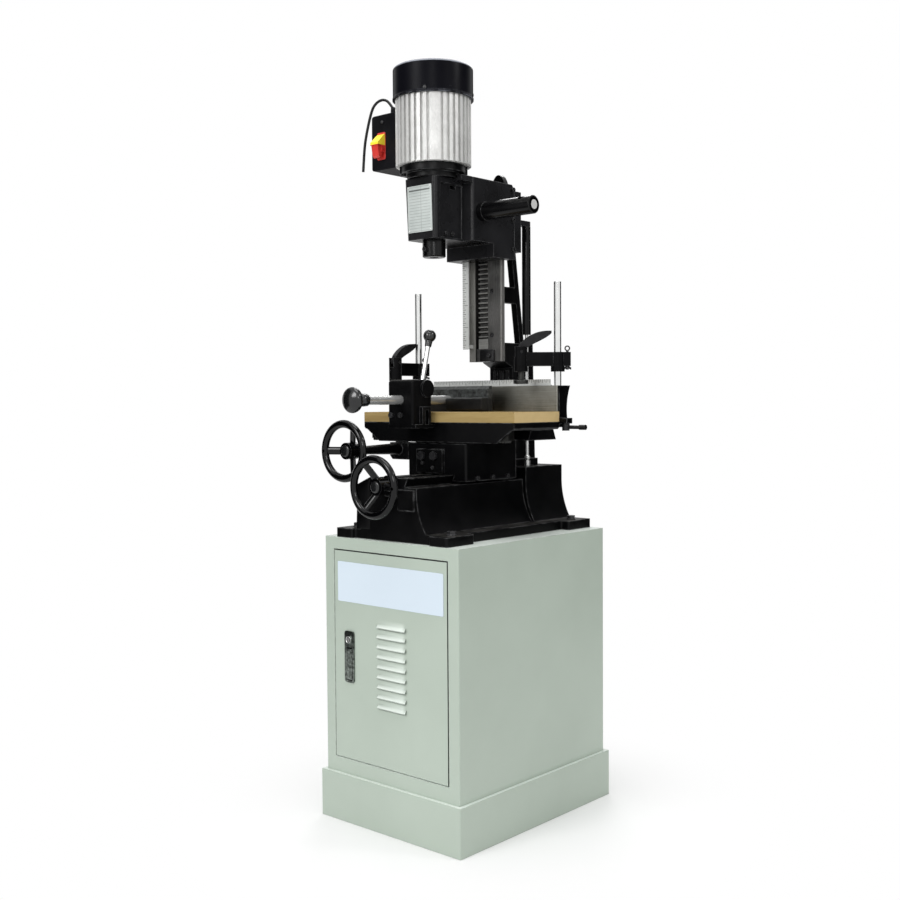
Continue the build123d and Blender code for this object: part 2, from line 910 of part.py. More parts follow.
# Base casting: flared body on four feet, dovetail way with a trough for the screw, rear pad
with BuildPart() as base_casting:
    flange_top = cabinet_height + base_flange_height
    skirt = foot_width / 5
    flange_y = (base_front + skirt, base_back - skirt)
    body_length = base_length - skirt - base_end_step
    body_end = base_back - base_end_step
    block((-base_flange_half, base_flange_half), flange_y, (cabinet_height, flange_top))
    for side in (-1, 1):
        foot_limits = sorted((side * foot_half, side * (foot_half - foot_width)))
        block(foot_limits, (base_front, base_front + foot_length), (cabinet_height, flange_top))
        block(foot_limits, (base_back - foot_length, base_back), (cabinet_height, flange_top))
    fillet(base_casting.edges().filter_by(Axis.Z), 0.45 * skirt)
    body_top = cabinet_height + base_flange_height
    with BuildSketch(Plane(origin=(0, body_end, 0), x_dir=(1, 0, 0), z_dir=(0, -1, 0))):
        with BuildLine():
            Polyline((-base_top_half, base_top), (base_top_half, base_top))
            ThreePointArc(
                (base_top_half, base_top), (base_waist_half, base_waist_z), (base_foot_half, body_top)
            )
            Polyline((base_foot_half, body_top), (-base_foot_half, body_top))
            ThreePointArc(
                (-base_foot_half, body_top), (-base_waist_half, base_waist_z), (-base_top_half, base_top)
            )
        make_face()
    extrude(amount=body_length)
    with BuildSketch(Plane(origin=(0, body_end, 0), x_dir=(1, 0, 0), z_dir=(0, -1, 0))):
        with BuildLine():
            Polyline((-pad_half, pad_top), (pad_half, pad_top), (pad_half, base_top))
            pad_waist = (pad_half + base_waist_half - base_top_half, base_waist_z)
            ThreePointArc((pad_half, base_top), pad_waist, (pad_foot_half, body_top))
            Polyline((pad_foot_half, body_top), (-pad_foot_half, body_top))
            ThreePointArc((-pad_foot_half, body_top), (-pad_waist[0], pad_waist[1]), (-pad_half, base_top))
            Line((-pad_half, base_top), (-pad_half, pad_top))
        make_face()
    extrude(amount=body_end - pad_front)
    way_start = Plane(origin=(0, pad_front, 0), x_dir=(1, 0, 0), z_dir=(0, -1, 0))
    with BuildSketch(way_start):
        with BuildLine():
            Polyline(
                (-way_foot_half, base_top),
                (-way_top_half, way_top),
                (way_top_half, way_top),
                (way_foot_half, base_top),
                close=True,
            )
        make_face()
    extrude(amount=pad_front - base_front - skirt)
    trough_y = (base_front + 2 * skirt, pad_front - base_wall)
    block((-trough_half, trough_half), trough_y, (trough_floor, way_top + cut_over), Mode.SUBTRACT)
    screw_hole_start = (0, base_front - cut_over, screw_z)
    shaft(screw_hole_start, (0, 1, 0), screw_radius + screw_room, 3 * skirt, Mode.SUBTRACT)
    journal_start = (0, pad_front - 2 * base_wall, screw_z)
    journal_radius = screw_radius - journal_step
    shaft(journal_start, (0, 1, 0), journal_radius + bearing_gap, 3 * base_wall, Mode.SUBTRACT)
    hollow_start = Plane(origin=(0, base_back - 2 * skirt, 0), x_dir=(1, 0, 0), z_dir=(0, -1, 0))
    with BuildSketch(hollow_start):
        with BuildLine():
            Polyline(
                (base_wall - base_foot_half, cabinet_height),
                (2 * base_wall - base_top_half, trough_floor - base_wall),
                (base_top_half - 2 * base_wall, trough_floor - base_wall),
                (base_foot_half - base_wall, cabinet_height),
                close=True,
            )
        make_face()
    extrude(amount=base_length - 4 * skirt, mode=Mode.SUBTRACT)
    hole_run = base_flange_height + 2 * cut_over
    for bolt_x in (-foot_x, foot_x):
        for bolt_y in (foot_front_y, foot_back_y):
            hole_start = (bolt_x, bolt_y, cabinet_height - cut_over)
            shaft(hole_start, (0, 0, 1), bolt_radius + bearing_gap, hole_run, Mode.SUBTRACT)
    cover_pad_right = base_top_half - cover_pad_edge
    cover_pad_x = (cover_pad_right - cover_pad_width, cover_pad_right)
    cover_pad_top = base_top - cover_pad_drop
    cover_pad_z = (cover_pad_top - cover_pad_height, cover_pad_top)
    cover_pad_y = (base_front + skirt - cover_pad_thickness, base_front + skirt)
    block(cover_pad_x, cover_pad_y, cover_pad_z)
keep(base_casting, "base_casting")

# Front bearing plate of the cross screw
with BuildPart() as screw_bearing:
    plate_back = base_front + skirt
    with BuildSketch(Plane(origin=(0, plate_back, screw_z), x_dir=(1, 0, 0), z_dir=(0, -1, 0))):
        RectangleRounded(bearing_plate_width, bearing_plate_height, bearing_plate_height / 6)
        Circle(screw_radius + bearing_gap, mode=Mode.SUBTRACT)
    extrude(amount=bearing_plate_thickness)
keep(screw_bearing, "screw_bearing")

# Cross screw with its thrust collar and rear journal
with BuildPart() as cross_screw:
    hub_back_y = cross_wheel_y + wheel_dish + hub_length / 2
    hub_front_y = hub_back_y - hub_length
    screw_length = pad_front - base_wall - pass_gap - hub_front_y
    shaft((0, hub_front_y, screw_z), (0, 1, 0), screw_radius, screw_length)
    shaft((0, hub_front_y, screw_z), (0, 1, 0), journal_radius, screw_length + base_wall)
    collar_front = hub_back_y
    collar_length = plate_back - bearing_plate_thickness - slide_gap - collar_front
    shaft((0, collar_front, screw_z), (0, 1, 0), screw_radius + collar_step, collar_length)
keep(cross_screw, "cross_screw")


def handwheel(center, first_spoke):
    """Three-spoke dished handwheel on an axis along Y, its rim in the plane of the centre point."""
    rim_middle = wheel_radius - rim_radius
    hub_middle = Vector(*center) + Vector(0, wheel_dish, 0)
    with BuildPart() as wheel:
        between = radians(first_spoke + 60)
        radial = Vector(cos(between), 0, sin(between))
        with BuildSketch(Plane(origin=center, x_dir=radial, z_dir=radial.cross(Vector(0, 1, 0)))):
            with Locations((rim_middle, 0)):
                Ellipse(rim_radius, rim_radius * 0.9)
        revolve(axis=Axis(center, (0, 1, 0)))
        hub_start = hub_middle - Vector(0, hub_length / 2, 0)
        shaft(hub_start, (0, 1, 0), hub_radius, hub_length)
        for spoke in range(3):
            angle = radians(first_spoke + 120 * spoke)
            outward = Vector(cos(angle), 0, sin(angle))
            inner = hub_middle + outward * (hub_radius * 0.7)
            outer = Vector(*center) + outward * rim_middle
            run = outer - inner
            with BuildSketch(Plane(origin=inner, x_dir=Vector(0, 1, 0).cross(run), z_dir=run)) as arm:
                Ellipse(spoke_width / 2, spoke_thickness / 2)
            extrude(arm.sketch, amount=run.length)
        angle = radians(first_spoke)
        crank = Vector(*center) + Vector(cos(angle), 0, sin(angle)) * rim_middle
        crank_start = crank - Vector(0, 2 * rim_radius, 0)
        shaft(crank_start, (0, 1, 0), crank_hole_radius, 4 * rim_radius, Mode.SUBTRACT)
    return wheel


cross_handwheel = handwheel((0, cross_wheel_y, screw_z), 0)
bore_length = hub_length + 2 * cut_over
with BuildPart() as cross_handwheel_bored:
    add(cross_handwheel.part)
    shaft((0, hub_front_y - cut_over, screw_z), (0, 1, 0), screw_radius, bore_length, Mode.SUBTRACT)
keep(cross_handwheel_bored, "cross_handwheel")

# Saddle: dovetail slot below for the base way, dovetail slot above for the table
way_slope = (way_top_half - way_foot_half) / (way_top - base_top)
way_slot_low = way_foot_half + way_slope * (saddle_bottom - base_top) + slide_gap
way_slot_high = way_top_half + way_slope * slide_gap + slide_gap
slot_ceiling = way_top + slide_gap
table_slope = dovetail_slope / dovetail_height
slot_floor = dovetail_bottom - slide_gap
slot_rise = saddle_top - slot_floor
with BuildPart() as saddle:
    with BuildSketch(Plane.YZ.offset(-saddle_half)):
        with BuildLine():
            Polyline(
                (saddle_front, saddle_bottom),
                (saddle_back, saddle_bottom),
                (saddle_back, saddle_top),
                (dovetail_back - table_slope * slot_rise + slide_gap, saddle_top),
                (dovetail_back + slide_gap, slot_floor),
                (dovetail_front - slide_gap, slot_floor),
                (dovetail_front + table_slope * slot_rise - slide_gap, saddle_top),
                (saddle_ledge_back, saddle_top),
                (saddle_ledge_back, saddle_ledge),
                (saddle_front, saddle_ledge),
                close=True,
            )
        make_face()
    extrude(amount=2 * saddle_half)
    with BuildSketch(Plane(origin=(0, saddle_back + cut_over, 0), x_dir=(1, 0, 0), z_dir=(0, -1, 0))):
        with BuildLine():
            Polyline(
                (-way_slot_low, saddle_bottom - cut_over),
                (-way_slot_low, saddle_bottom),
                (-way_slot_high, slot_ceiling),
                (way_slot_high + gib_thickness, slot_ceiling),
                (way_slot_low + gib_thickness, saddle_bottom),
                (way_slot_low + gib_thickness, saddle_bottom - cut_over),
                close=True,
            )
        make_face()
    extrude(amount=saddle_back - saddle_front + 2 * cut_over, mode=Mode.SUBTRACT)
    fillet(saddle.edges().filter_by(Axis.Z).sort_by(Axis.Y)[:2], saddle_corner)
    pad_x = (front_pad_left, front_pad_right)
    block(pad_x, (saddle_front - front_pad_thickness, saddle_front), (front_pad_bottom, front_pad_top))
keep(saddle, "saddle")

# Gib strip between the base way and the saddle, on the right
with BuildPart() as saddle_gib:
    gib_low = saddle_bottom + drop_gap
    gib_high = way_top - drop_gap
    low_x = way_foot_half + way_slope * (gib_low - base_top) + slide_gap
    high_x = way_foot_half + way_slope * (gib_high - base_top) + slide_gap
    gib_body = gib_thickness - slide_gap
    with BuildSketch(Plane(origin=(0, saddle_back - gib_end_gap, 0), x_dir=(1, 0, 0), z_dir=(0, -1, 0))):
        with BuildLine():
            Polyline(
                (low_x, gib_low),
                (high_x, gib_high),
                (high_x + gib_body, gib_high),
                (low_x + gib_body, gib_low),
                close=True,
            )
        make_face()
    extrude(amount=saddle_back - saddle_front - 2 * gib_end_gap)
keep(saddle_gib, "saddle_gib")

# Saddle fasteners: gib screws on the right, bolts and set screws on the front pad
with BuildPart() as saddle_screws:
    gib_screw_z = (saddle_bottom + way_top) / 2
    for screw_share in (0.2, 0.5, 0.8):
        screw_y = saddle_front + screw_share * (saddle_back - saddle_front)
        socket_head((saddle_half, screw_y, gib_screw_z), (1, 0, 0), gib_screw_radius, gib_screw_head)
    pad_face = saddle_front - front_pad_thickness
    pad_bolt_x = front_pad_left + pad_bolt_inset
    pad_bolt_z = front_pad_top - pad_bolt_drop
    for screw_x in (pad_bolt_x, pad_bolt_x + pad_bolt_spacing):
        hex_head((screw_x, pad_face, pad_bolt_z), (0, -1, 0), bolt_head_across, bolt_head_height)
    pad_screw_x = front_pad_left + pad_screw_inset
    upper_screw = (pad_screw_x, pad_face, front_pad_bottom + pad_screw_rise)
    lower_screw = (pad_screw_x + pad_screw_spacing, pad_face, front_pad_bottom + pad_screw_low)
    for screw_seat in (upper_screw, lower_screw):
        socket_head(screw_seat, (0, -1, 0), pad_screw_radius, pad_screw_head)
keep(saddle_screws, "saddle_screws")

# Nut of the cross screw, hung from the saddle into the trough
with BuildPart() as cross_nut:
    nut_middle = (saddle_front + saddle_back) / 2
    nut_y = (nut_middle - nut_length / 2, nut_middle + nut_length / 2)
    block((-nut_half, nut_half), nut_y, (nut_bottom, slot_ceiling))
    fillet(cross_nut.edges().filter_by(Axis.Y).sort_by(Axis.Z)[:2], nut_corner)
    nut_bore = screw_radius + slide_gap
    nut_bore_start = (0, nut_y[0] - cut_over, screw_z)
    shaft(nut_bore_start, (0, 1, 0), nut_bore, nut_length + 2 * cut_over, Mode.SUBTRACT)
keep(cross_nut, "cross_nut")

# Bracket of the table feed shaft, bolted to the saddle's left side
pinion_tip = pinion_radius + tooth_rise * table_module
with BuildPart() as pinion_bracket:
    with BuildSketch(Plane(origin=(0, bracket_back, 0), x_dir=(1, 0, 0), z_dir=(0, -1, 0))):
        with BuildLine():
            Polyline(
                (-saddle_half, bracket_bottom),
                (-saddle_half, saddle_ledge),
                (bracket_left, saddle_ledge),
                (bracket_left, bracket_bottom + bracket_chamfer),
                (bracket_left + bracket_chamfer, bracket_bottom),
                close=True,
            )
        make_face()
    extrude(amount=bracket_back - saddle_front)
    with Locations(Plane(origin=(pinion_x, saddle_front, pinion_z), z_dir=(0, -1, 0)).location):
        Cone(sleeve_root, sleeve_tip, sleeve_length, align=(Align.CENTER, Align.CENTER, Align.MIN))
    pocket_start = (pinion_x, rack_back + gear_side_gap, pinion_z)
    pocket_length = rack_back - rack_front + gear_side_gap - pinion_room
    shaft(pocket_start, (0, -1, 0), pinion_tip + pinion_room, pocket_length, Mode.SUBTRACT)
    bore_start = (pinion_x, saddle_front - sleeve_length - cut_over, pinion_z)
    shaft_end = bracket_back - bracket_wall
    bore_run = shaft_end + pinion_room - bore_start[1]
    shaft(bore_start, (0, 1, 0), pinion_shaft_radius + bearing_gap, bore_run, Mode.SUBTRACT)
keep(pinion_bracket, "pinion_bracket")

# Table feed shaft with its pinion
with BuildPart() as table_pinion:
    table_hub_back = table_wheel_y + wheel_dish + hub_length / 2
    table_hub_front = table_hub_back - hub_length
    shaft_start = (pinion_x, table_hub_front, pinion_z)
    shaft(shaft_start, (0, 1, 0), pinion_shaft_radius, shaft_end - table_hub_front)
    pinion_plane = Plane(origin=(pinion_x, rack_back, pinion_z), x_dir=(1, 0, 0), z_dir=(0, -1, 0))
    with BuildSketch(pinion_plane):
        with BuildLine():
            Polyline(gear_points(pinion_teeth, table_module, pi / 2 + pi / pinion_teeth), close=True)
        make_face()
    extrude(amount=rack_back - rack_front - pinion_front_gap)
keep(table_pinion, "table_pinion")

table_handwheel = handwheel((pinion_x, table_wheel_y, pinion_z), 180)
with BuildPart() as table_handwheel_bored:
    add(table_handwheel.part)
    hub_bore_start = (pinion_x, table_hub_front - cut_over, pinion_z)
    shaft(hub_bore_start, (0, 1, 0), pinion_shaft_radius, bore_length, Mode.SUBTRACT)
keep(table_handwheel_bored, "table_handwheel")

# Table casting: flanged plate with a dovetail underneath
with BuildPart() as table_casting:
    table_y = (table_front, table_back)
    block((-table_half, table_half), table_y, (table_bottom, table_top_z))
    chamfer(table_casting.faces().sort_by(Axis.Z)[0].edges().filter_by(Axis.Y), table_thickness / 4)
    with BuildSketch(Plane.YZ.offset(-dovetail_half)):
        with BuildLine():
            Polyline(
                (dovetail_front, dovetail_bottom),
                (dovetail_back, dovetail_bottom),
                (dovetail_back - dovetail_slope, table_bottom),
                (dovetail_front + dovetail_slope, table_bottom),
                close=True,
            )
        make_face()
    extrude(amount=2 * dovetail_half)
    with BuildSketch(Plane(origin=(0, rack_front, 0), x_dir=(1, 0, 0), z_dir=(0, -1, 0))):
        with BuildLine():
            Polyline(
                (-apron_half, table_bottom),
                (-apron_half + apron_slope, apron_bottom),
                (apron_half - apron_slope, apron_bottom),
                (apron_half, table_bottom),
                close=True,
            )
        make_face()
    extrude(amount=rack_front - table_front)
keep(table_casting, "table_casting")

# Rack under the front of the table, teeth down
with BuildPart() as table_rack:
    first_tooth = -int((rack_half + pinion_x) / table_pitch - 0.5)
    reach = int((rack_half - pinion_x) / table_pitch - 0.5)
    with BuildSketch(Plane(origin=(0, rack_back, 0), x_dir=(1, 0, 0), z_dir=(0, -1, 0))):
        with BuildLine():
            edge = []
            for height, place in rack_points(first_tooth, reach, table_module):
                edge.append((pinion_x + place, table_rack_z - height))
            rack_back_line = [(rack_half, edge[-1][1]), (rack_half, table_bottom)]
            rack_front_line = [(-rack_half, table_bottom), (-rack_half, edge[0][1])]
            Polyline(edge + rack_back_line + rack_front_line, close=True)
        make_face()
    extrude(amount=rack_back - rack_front)
keep(table_rack, "table_rack")

# Wooden table top
with BuildPart() as table_top:
    block((-table_half, table_half), table_y, (table_top_z, work_z))
    fillet(table_top.edges().filter_by(Axis.X).group_by(Axis.Z)[-1], wood_edge)
keep(table_top, "table_top")

# Fence casting: ribbed back, a boss at each end for the hold-down rods
fence_front = table_back
fence_back = fence_front + fence_depth
with BuildPart() as fence_casting:
    with BuildSketch(Plane.YZ.offset(-table_half)):
        with BuildLine():
            Polyline(
                (fence_back - fence_foot_set, fence_bottom),
                (fence_front, fence_bottom),
                (fence_front, fence_top),
                (fence_back - fence_lip_set, fence_top),
            )
            ThreePointArc(
                (fence_back - fence_lip_set, fence_top),
                (fence_back - fence_waist_set, (fence_bottom + fence_top) / 2),
                (fence_back - fence_foot_set, fence_bottom),
            )
        make_face()
    extrude(amount=2 * table_half)
    for side in (-1, 1):
        boss_start = (side * rod_x, rod_y, fence_bottom)
        shaft(boss_start, (0, 0, 1), rod_boss_radius, fence_top - fence_bottom)
    foot_y = (fence_front, fence_back)
    for foot_side in (-1, 1):
        foot_end = foot_side * (table_half - fence_foot_end)
        foot_run = sorted((foot_end, foot_end - foot_side * 3 * rod_boss_radius))
        block(foot_run, foot_y, (fence_bottom, fence_bottom + fence_foot_height))
    for side in (-1, 1):
        bore_start = (side * rod_x, rod_y, fence_bottom + rod_seat_rise)
        shaft(bore_start, (0, 0, 1), rod_radius + bearing_gap, fence_top, Mode.SUBTRACT)
    lug_x = (table_half, table_half + lock_lug)
    lug_z = (lock_lug_bottom, lock_lug_bottom + lock_lug_thickness)
    block(lug_x, (fence_front, fence_front + lock_lug), lug_z)
    lock_x_axis = table_half + lock_lug / 2
    lock_y_axis = fence_front + lock_lug / 2
keep(fence_casting, "fence_casting")

# Ground steel face of the fence
with BuildPart() as fence_face:
    face_y = (fence_front - fence_face_thickness, fence_front)
    face_half = table_half - fence_face_end
    block((-face_half, face_half), face_y, (work_z, fence_top))
    chamfer(fence_face.edges().filter_by(Axis.Z), fence_face_end)
keep(fence_face, "fence_face")

# Hold-down rods
with BuildPart() as hold_down_rods:
    for side in (-1, 1):
        rod_start = (side * rod_x, rod_y, fence_bottom + rod_seat_rise)
        shaft(rod_start, (0, 0, 1), rod_radius, rod_top - rod_start[2])
    chamfer(hold_down_rods.faces().sort_by(Axis.Z)[-2:].edges(), rod_chamfer)
keep(hold_down_rods, "hold_down_rods")


def clamp_frame(side, turn):
    """Plane at a hold-down rod, its X along the arm towards the clamp head."""
    forward = Vector(cos(radians(turn)), sin(radians(turn)), 0)
    return Plane(origin=(side * rod_x, rod_y, 0), x_dir=forward, z_dir=(0, 0, 1))


def clamp_arm(frame, arm_bottom):
    """Arm with a split boss on the rod and a bored, slotted head for the plunger and its cam."""
    head_low = arm_bottom - head_drop
    with BuildPart() as arm:
        with BuildSketch(frame.offset(arm_bottom)):
            Circle(clamp_boss_radius)
            with Locations((arm_reach / 2 - clamp_lug / 2, 0)):
                Rectangle(arm_reach + clamp_lug, arm_width)
        extrude(amount=arm_height)
        with BuildSketch(frame.offset(arm_bottom - head_drop)):
            Circle(clamp_boss_radius)
        extrude(amount=head_drop)
        with BuildSketch(frame.offset(head_low)):
            with Locations((arm_reach, 0)):
                Circle(clamp_head_radius)
        extrude(amount=clamp_head_height)
        with BuildSketch(frame.offset(head_low + clamp_head_height)):
            with Locations((arm_reach - clamp_head_radius / 2, 0)):
                Rectangle(3 * clamp_head_radius, lever_slot)
        extrude(amount=-(2 * cam_radius + cam_slot_room), mode=Mode.SUBTRACT)
        with BuildSketch(frame.offset(head_low)):
            with Locations((arm_reach, 0)):
                Circle(plunger_radius + slide_gap)
        extrude(amount=clamp_head_height, mode=Mode.SUBTRACT)
        with BuildSketch(frame.offset(head_low)):
            Circle(rod_radius + slide_gap)
        extrude(amount=clamp_head_height, mode=Mode.SUBTRACT)
        pin_height = head_low + clamp_head_height - cam_radius - cam_rim
        pin_point = frame.from_local_coords((arm_reach, 0, pin_height))
        pin_start = pin_point - frame.y_dir * (clamp_head_radius + cut_over)
        pin_run = 2 * clamp_head_radius + 2 * cut_over
        shaft(pin_start, frame.y_dir, cam_radius / 3 + bearing_gap, pin_run, Mode.SUBTRACT)
    return arm


def clamp_lever(frame, arm_bottom):
    """Cam lever: round cam on its cross pin and a tapered grip that lies back over the arm."""
    pin_height = arm_bottom - head_drop + clamp_head_height - cam_radius - cam_rim
    with BuildPart() as lever:
        side_plane = Plane(
            origin=frame.from_local_coords((arm_reach, -lever_width / 2, pin_height)),
            x_dir=-frame.x_dir,
            z_dir=frame.y_dir,
        )
        with BuildSketch(side_plane):
            with Locations((0, cam_throw)):
                Circle(cam_radius)
            with BuildLine():
                Polyline((-cam_radius, cam_throw), (-cam_radius * 0.4, cam_radius * 1.7))
                Spline(
                    (-cam_radius * 0.4, cam_radius * 1.7),
                    (lever_length * 0.35, cam_radius * 4.1),
                    (lever_length, cam_radius * 5),
                )
                Polyline((lever_length, cam_radius * 5), (lever_length, cam_radius * 4.4))
                Spline(
                    (lever_length, cam_radius * 4.4),
                    (lever_length * 0.75, cam_radius * 3.1),
                    (lever_length * 0.45, cam_radius * 2),
                    (cam_radius, cam_radius * 0.6),
                )
                Polyline((cam_radius, cam_radius * 0.6), (cam_radius, cam_throw), (-cam_radius, cam_throw))
            make_face()
        extrude(amount=lever_width)
        pin_point = frame.from_local_coords((arm_reach, 0, pin_height))
        pin_start = pin_point - frame.y_dir * clamp_head_radius
        shaft(pin_start, frame.y_dir, cam_radius / 3, 2 * clamp_head_radius)
    return lever


def clamp_foot(frame, arm_bottom):
    """Plunger with its round foot."""
    head_low = arm_bottom - head_drop
    cam_bottom = head_low + clamp_head_height - 2 * cam_radius + cam_throw - cam_rim - drop_gap
    with BuildPart() as foot:
        with BuildSketch(frame.offset(head_low - foot_below_head)):
            with Locations((arm_reach, 0)):
                Circle(foot_radius)
        extrude(amount=foot_thickness)
        fillet(foot.faces().sort_by(Axis.Z)[-1].edges(), foot_thickness / 3)
        with BuildSketch(frame.offset(head_low - foot_below_head)):
            with Locations((arm_reach, 0)):
                Circle(plunger_radius)
        extrude(amount=cam_bottom - head_low + foot_below_head)
    return foot


clamp_sides = (("left", -1, left_arm_turn, left_arm_z), ("right", 1, right_arm_turn, right_arm_z))
for name, side, turn, arm_bottom in clamp_sides:
    frame = clamp_frame(side, turn)
    keep(clamp_arm(frame, arm_bottom), f"{name}_clamp_arm")
    keep(clamp_lever(frame, arm_bottom), f"{name}_clamp_lever")
    keep(clamp_foot(frame, arm_bottom), f"{name}_clamp_foot")

# Vise bracket on the front edge of the table, bored for the push rod, slotted for the cam lever
vise_back = table_front
with BuildPart() as vise_bracket:
    bracket_x = (vise_x - vise_half, vise_x + vise_half)
    block(bracket_x, (vise_front, vise_back), (vise_flange_top, vise_top))
    fillet(vise_bracket.edges().filter_by(Axis.X).group_by(Axis.Z)[-1], vise_edge)
    fillet(vise_bracket.edges().filter_by(Axis.Z).group_by(Axis.Y)[0], vise_corner)
    flange_x = (vise_x - vise_half, vise_x + vise_half + staple_reach)
    block(flange_x, (vise_front, vise_back), (vise_flange_bottom, vise_flange_top))
    rod_start = (vise_x, vise_front - cut_over, vise_rod_z)
    rod_bore_run = vise_length + 2 * cut_over
    shaft(rod_start, (0, 1, 0), vise_rod_radius + slide_gap, rod_bore_run, Mode.SUBTRACT)
    slot_half = vise_cam_width / 2 + pass_gap
    cam_slot_x = (vise_lever_x - slot_half, vise_lever_x + slot_half)
    cam_slot_bottom = vise_lever_z - vise_cam_radius - vise_slot_room
    boss_start = (bracket_x[1], vise_lever_y, vise_lever_z - vise_boss_drop)
    shaft(boss_start, (1, 0, 0), vise_boss_radius, vise_boss_height)
    cam_slot_y = (vise_lever_y - vise_slot_front, vise_back + cut_over)
    block(cam_slot_x, cam_slot_y, (cam_slot_bottom, vise_top + cut_over), Mode.SUBTRACT)
    cam_pin_radius = vise_cam_radius / 3
    cam_pin_start = (cam_slot_x[0] - vise_pin_reach, vise_lever_y, vise_lever_z)
    cam_pin_run = 2 * (slot_half + vise_pin_reach)
    shaft(cam_pin_start, (1, 0, 0), cam_pin_radius + bearing_gap, cam_pin_run, Mode.SUBTRACT)
    staple_y = (vise_front + staple_front, vise_front + staple_front + staple_width)
    staple_z = (vise_flange_top, vise_flange_top + staple_height)
    staple_x = (bracket_x[1], bracket_x[1] + staple_reach)
    block(staple_x, staple_y, staple_z)
    inside_x = (staple_x[0], staple_x[1] + cut_over)
    inside_y = (staple_y[0] + staple_bar, staple_y[1] - staple_bar)
    block(inside_x, inside_y, (staple_z[0], staple_z[1] - staple_bar), Mode.SUBTRACT)
keep(vise_bracket, "vise_bracket")

# Table fasteners: vise bracket screws and fence bolts
with BuildPart() as table_screws:
    vise_screw_x = vise_x - vise_half + vise_screw_inset
    vise_screw_z = vise_flange_top + vise_screw_rise
    for screw_x in (vise_screw_x, vise_screw_x + vise_screw_spacing):
        socket_head((screw_x, vise_front, vise_screw_z), (0, -1, 0), vise_screw_radius, vise_screw_head)
    fence_bolt_y = fence_back - fence_foot_set
    fence_bolt_z = fence_bottom + fence_bolt_rise
    fence_bolt_x = table_half - fence_bolt_inset
    for bolt_x in (-fence_bolt_x, 0, fence_bolt_x):
        hex_head((bolt_x, fence_bolt_y, fence_bolt_z), (0, 1, 0), fence_bolt_across, fence_bolt_head)
keep(table_screws, "table_screws")

# Push rod of the vise
with BuildPart() as vise_rod:
    rod_run = jaw_front - vise_rod_front
    shaft((vise_x, vise_rod_front, vise_rod_z), (0, 1, 0), vise_rod_radius, rod_run)
keep(vise_rod, "vise_rod")

# Mushroom knob and its neck
with BuildPart() as vise_knob:
    knob_plane = Plane(origin=(vise_x, vise_rod_front, vise_rod_z), x_dir=(0, 0, 1), z_dir=(1, 0, 0))
    with BuildSketch(knob_plane):
        with BuildLine():
            Polyline((0, neck_length + knob_length), (0, 0), (neck_radius, 0))
            Spline(
                (neck_radius, 0),
                (neck_radius, neck_length * 0.6),
                (neck_radius * 0.75, neck_length),
                (knob_radius, neck_length + knob_length * 0.5),
                tangents=((0, 1), (0, 1)),
            )
            Spline(
                (knob_radius, neck_length + knob_length * 0.5),
                (knob_radius * 0.75, neck_length + knob_length * 0.82),
                (0, neck_length + knob_length),
                tangents=((0, 1), (-1, 0)),
            )
        make_face()
    revolve(axis=Axis((vise_x, vise_rod_front, vise_rod_z), (0, 1, 0)))
keep(vise_knob, "vise_knob")

# Vise jaw with its guide block
with BuildPart() as vise_jaw:
    jaw_x = (vise_x - jaw_half, vise_x + jaw_half)
    block(jaw_x, (jaw_front, jaw_front + jaw_thickness), (jaw_bottom, jaw_top))
    chamfer(vise_jaw.edges().filter_by(Axis.X).group_by(Axis.Z)[-1].sort_by(Axis.Y)[0], jaw_thickness / 2)
    guide_x = (vise_x + vise_rod_radius + guide_gap, vise_x + jaw_half - guide_end)
    guide_z = (jaw_bottom + guide_lift, vise_rod_z + guide_rise)
    block(guide_x, (jaw_front - guide_depth, jaw_front), guide_z)
    fillet(vise_jaw.edges().filter_by(Axis.X).group_by(Axis.Y)[0], guide_corner)
keep(vise_jaw, "vise_jaw")

# Cam lever of the vise: cam on its cross pin, rod leaning back
tilt = radians(vise_lever_tilt)
lever_direction = (0, sin(tilt), cos(tilt))
with BuildPart() as vise_lever:
    cam_start = (vise_lever_x - vise_cam_width / 2, vise_lever_y, vise_lever_z)
    shaft(cam_start, (1, 0, 0), vise_cam_radius, vise_cam_width)
    shaft(cam_pin_start, (1, 0, 0), cam_pin_radius, cam_pin_run)
    lever_start = (vise_lever_x, vise_lever_y, vise_lever_z)
    shaft(lever_start, lever_direction, vise_lever_radius, vise_lever_length)
keep(vise_lever, "vise_lever")

# Ball of the vise lever, with its tapered neck
with BuildPart() as vise_lever_ball:
    ball_foot = Vector(*lever_start) + Vector(*lever_direction) * vise_lever_length
    ball_plane = Plane(origin=ball_foot, x_dir=(1, 0, 0), z_dir=lever_direction)
    with BuildSketch(ball_plane):
        Circle(vise_lever_radius * 1.4)
    with BuildSketch(ball_plane.offset(vise_ball_radius)):
        Circle(vise_lever_radius * 1.7)
    loft()
    ball_middle = ball_foot + Vector(*lever_direction) * (1.7 * vise_ball_radius)
    with Locations(ball_middle):
        Sphere(vise_ball_radius)
keep(vise_lever_ball, "vise_lever_ball")

# Lock lever under the lug at the fence's right end
with BuildPart() as fence_lock_lever:
    lever_top = lock_lug_bottom - drop_gap
    boss_foot = (lock_x_axis, lock_y_axis, lever_top - lock_boss_height)
    shaft(boss_foot, (0, 0, 1), lock_boss_radius, lock_boss_height)
    lever_mid = (lock_x_axis, lock_y_axis, lever_top - lock_boss_height / 2)
    shaft(lever_mid, (1, 0, 0), lock_lever_radius, lock_lever_length)
    grip_mid = (lock_x_axis + lock_lever_length * 0.7, lock_y_axis, lever_mid[2])
    shaft(grip_mid, (1, 0, 0), lock_lever_radius + lock_grip_step, lock_lever_length * 0.3)
keep(fence_lock_lever, "fence_lock_lever")

